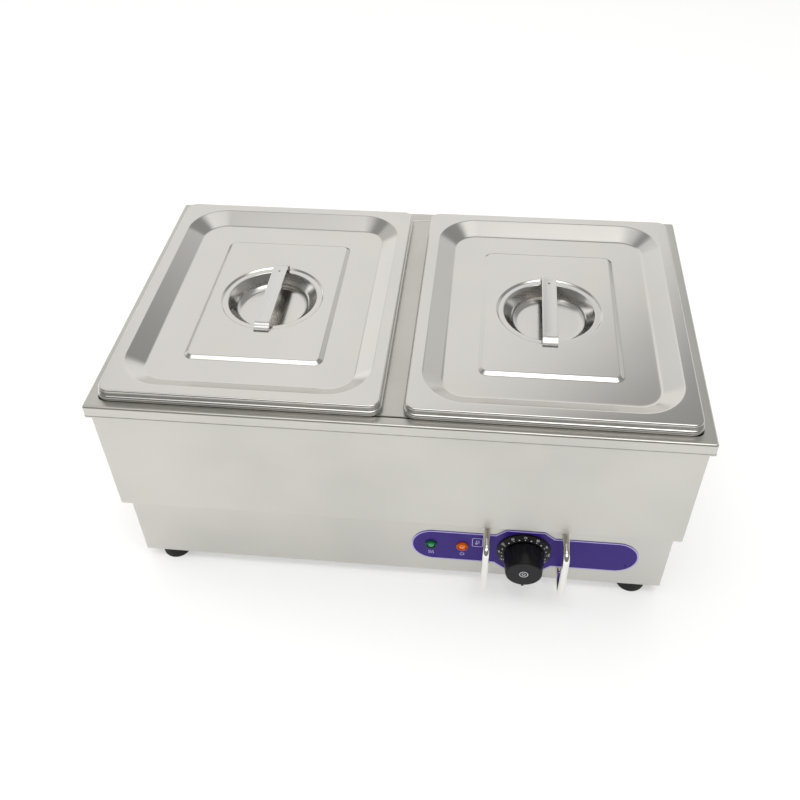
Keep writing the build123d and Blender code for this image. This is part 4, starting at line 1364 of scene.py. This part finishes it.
def makeRoom():
    clearPick()
    bpy.ops.mesh.primitive_plane_add(size=room["floorSize"], location=(0, 0, 0))
    floor = bpy.context.object
    floor.name = "studioFloor"
    made, shader, tree = newFinish("studio_floor")
    shader.inputs["Base Color"].default_value = room["floorColour"]
    shader.inputs["Roughness"].default_value = room["floorRoughness"]
    shader.inputs["Specular IOR Level"].default_value = room["floorSpecular"]
    shader.inputs["Emission Color"].default_value = (1, 1, 1, 1)
    shader.inputs["Emission Strength"].default_value = room["floorGlow"]
    floor.data.materials.append(made)


lights = {
    # name: place, aimed at, width, length, power, colour
    "topBox": ((0.0, 0.0, 2.2), (0, 0, 0.2), 2.2, 2.0, 20, (0.98, 0.99, 1)),
    "leftBox": ((-2.0, 0.1, 0.9), (0, 0, 0.2), 1.6, 1.1, 10, (1, 0.995, 0.98)),
    "frontBox": ((0.3, -2.2, 1.5), (0, 0, 0.1), 1.8, 0.9, 8, (1, 1, 1)),
}


def makeLights():
    for name, (place, target, width, length, power, colour) in lights.items():
        bpy.ops.object.light_add(type="AREA", location=place)
        lamp = bpy.context.object
        lamp.name = name
        lamp.data.shape = "RECTANGLE"
        lamp.data.size = width
        lamp.data.size_y = length
        lamp.data.energy = power
        lamp.data.color = colour
        lamp.visible_glossy = False
        aim = Vector(target) - Vector(place)
        lamp.rotation_euler = aim.to_track_quat("-Z", "Y").to_euler()


skyLight = {
    "colour": (1.0, 0.992, 0.975, 1),
    "wall": 1.02,
    "ceiling": 0.66,
    "overhead": 0.6,
    "softBox": 2.4,
    "dimSide": 0.25,
    "brightSide": 0.38,
    "highLeft": 0.34,
    "ahead": 0.14,
}


def makeSky():
    sky = bpy.data.worlds.new("studioSky")
    bpy.context.scene.world = sky
    sky.use_nodes = True
    tree = Wire(sky.node_tree)
    background = sky.node_tree.nodes["Background"]
    way = tree.add("ShaderNodeTexCoord", output=0)
    east, north, up = [
        tree.add("ShaderNodeSeparateXYZ", None, {0: way}, axis) for axis in range(3)
    ]
    # a bright wall behind the unit, a dark ceiling above it, a soft box overhead,
    # and dark in front
    lean = ((east + 1.0) * 0.8).clipped() * 1.25 - 1.0
    wallTop = north * (1.05 - lean * 1.6)
    ceiling = ((up - wallTop + 0.05) * 5.0).clipped()
    wall = 1.0 - ceiling
    tinted = 1.0 + east * 1.2
    overhead = ((up - 0.88) * 14.0).clipped() * tinted
    softBox = ((up - 0.76) * 8.0).clipped() * ((-north - 0.03) * 4.0).clipped() * tinted
    dimSide = ((east - 0.14) * 3.5).clipped() * wall
    brightSide = ((-east - 0.44) * 4.0).clipped() * ((0.30 - up) * 6.0).clipped() * wall
    highLeft = ((-east - 0.36) * 5.0).clipped() * ((up - 0.26) * 8.0).clipped() * wall
    ahead = ((-north) * 3.0).clipped() * ceiling
    bright = skyLight["wall"] - ceiling * skyLight["ceiling"]
    bright = bright + overhead * skyLight["overhead"] + softBox * skyLight["softBox"]
    bright = bright - dimSide * skyLight["dimSide"] + brightSide * skyLight["brightSide"]
    bright = bright - highLeft * skyLight["highLeft"] - ahead * skyLight["ahead"]
    feed(tree, bright, background.inputs["Strength"])
    background.inputs["Color"].default_value = skyLight["colour"]


view = {
    "place": (0.07605, -0.72946, 0.80684),
    "azimuth": 6.88,
    "elevation": 43.6,
    "roll": 1.40,
    "lens": 40.41,
    "sensor": 36,
}


def makeCamera():
    around, above = math.radians(view["azimuth"]), math.radians(view["elevation"])
    roll = math.radians(view["roll"])
    flat = math.cos(above)
    back = Vector((math.sin(around) * flat, -math.cos(around) * flat, math.sin(above)))
    right = (-back).cross(Vector((0, 0, 1))).normalized()
    up = right.cross(-back)
    across = right * math.cos(roll) - up * math.sin(roll)
    upright = right * math.sin(roll) + up * math.cos(roll)
    turn = Matrix((across, upright, back)).transposed()
    bpy.ops.object.camera_add(location=view["place"])
    camera = bpy.context.object
    camera.name = "studioCamera"
    camera.rotation_mode = "QUATERNION"
    camera.rotation_quaternion = turn.to_quaternion()
    camera.data.lens = view["lens"]
    camera.data.sensor_width = view["sensor"]
    bpy.context.scene.camera = camera


makeRoom()
makeLights()
makeSky()
makeCamera()
bpy.context.scene.view_settings.view_transform = "Standard"
print("room, lights and camera made")
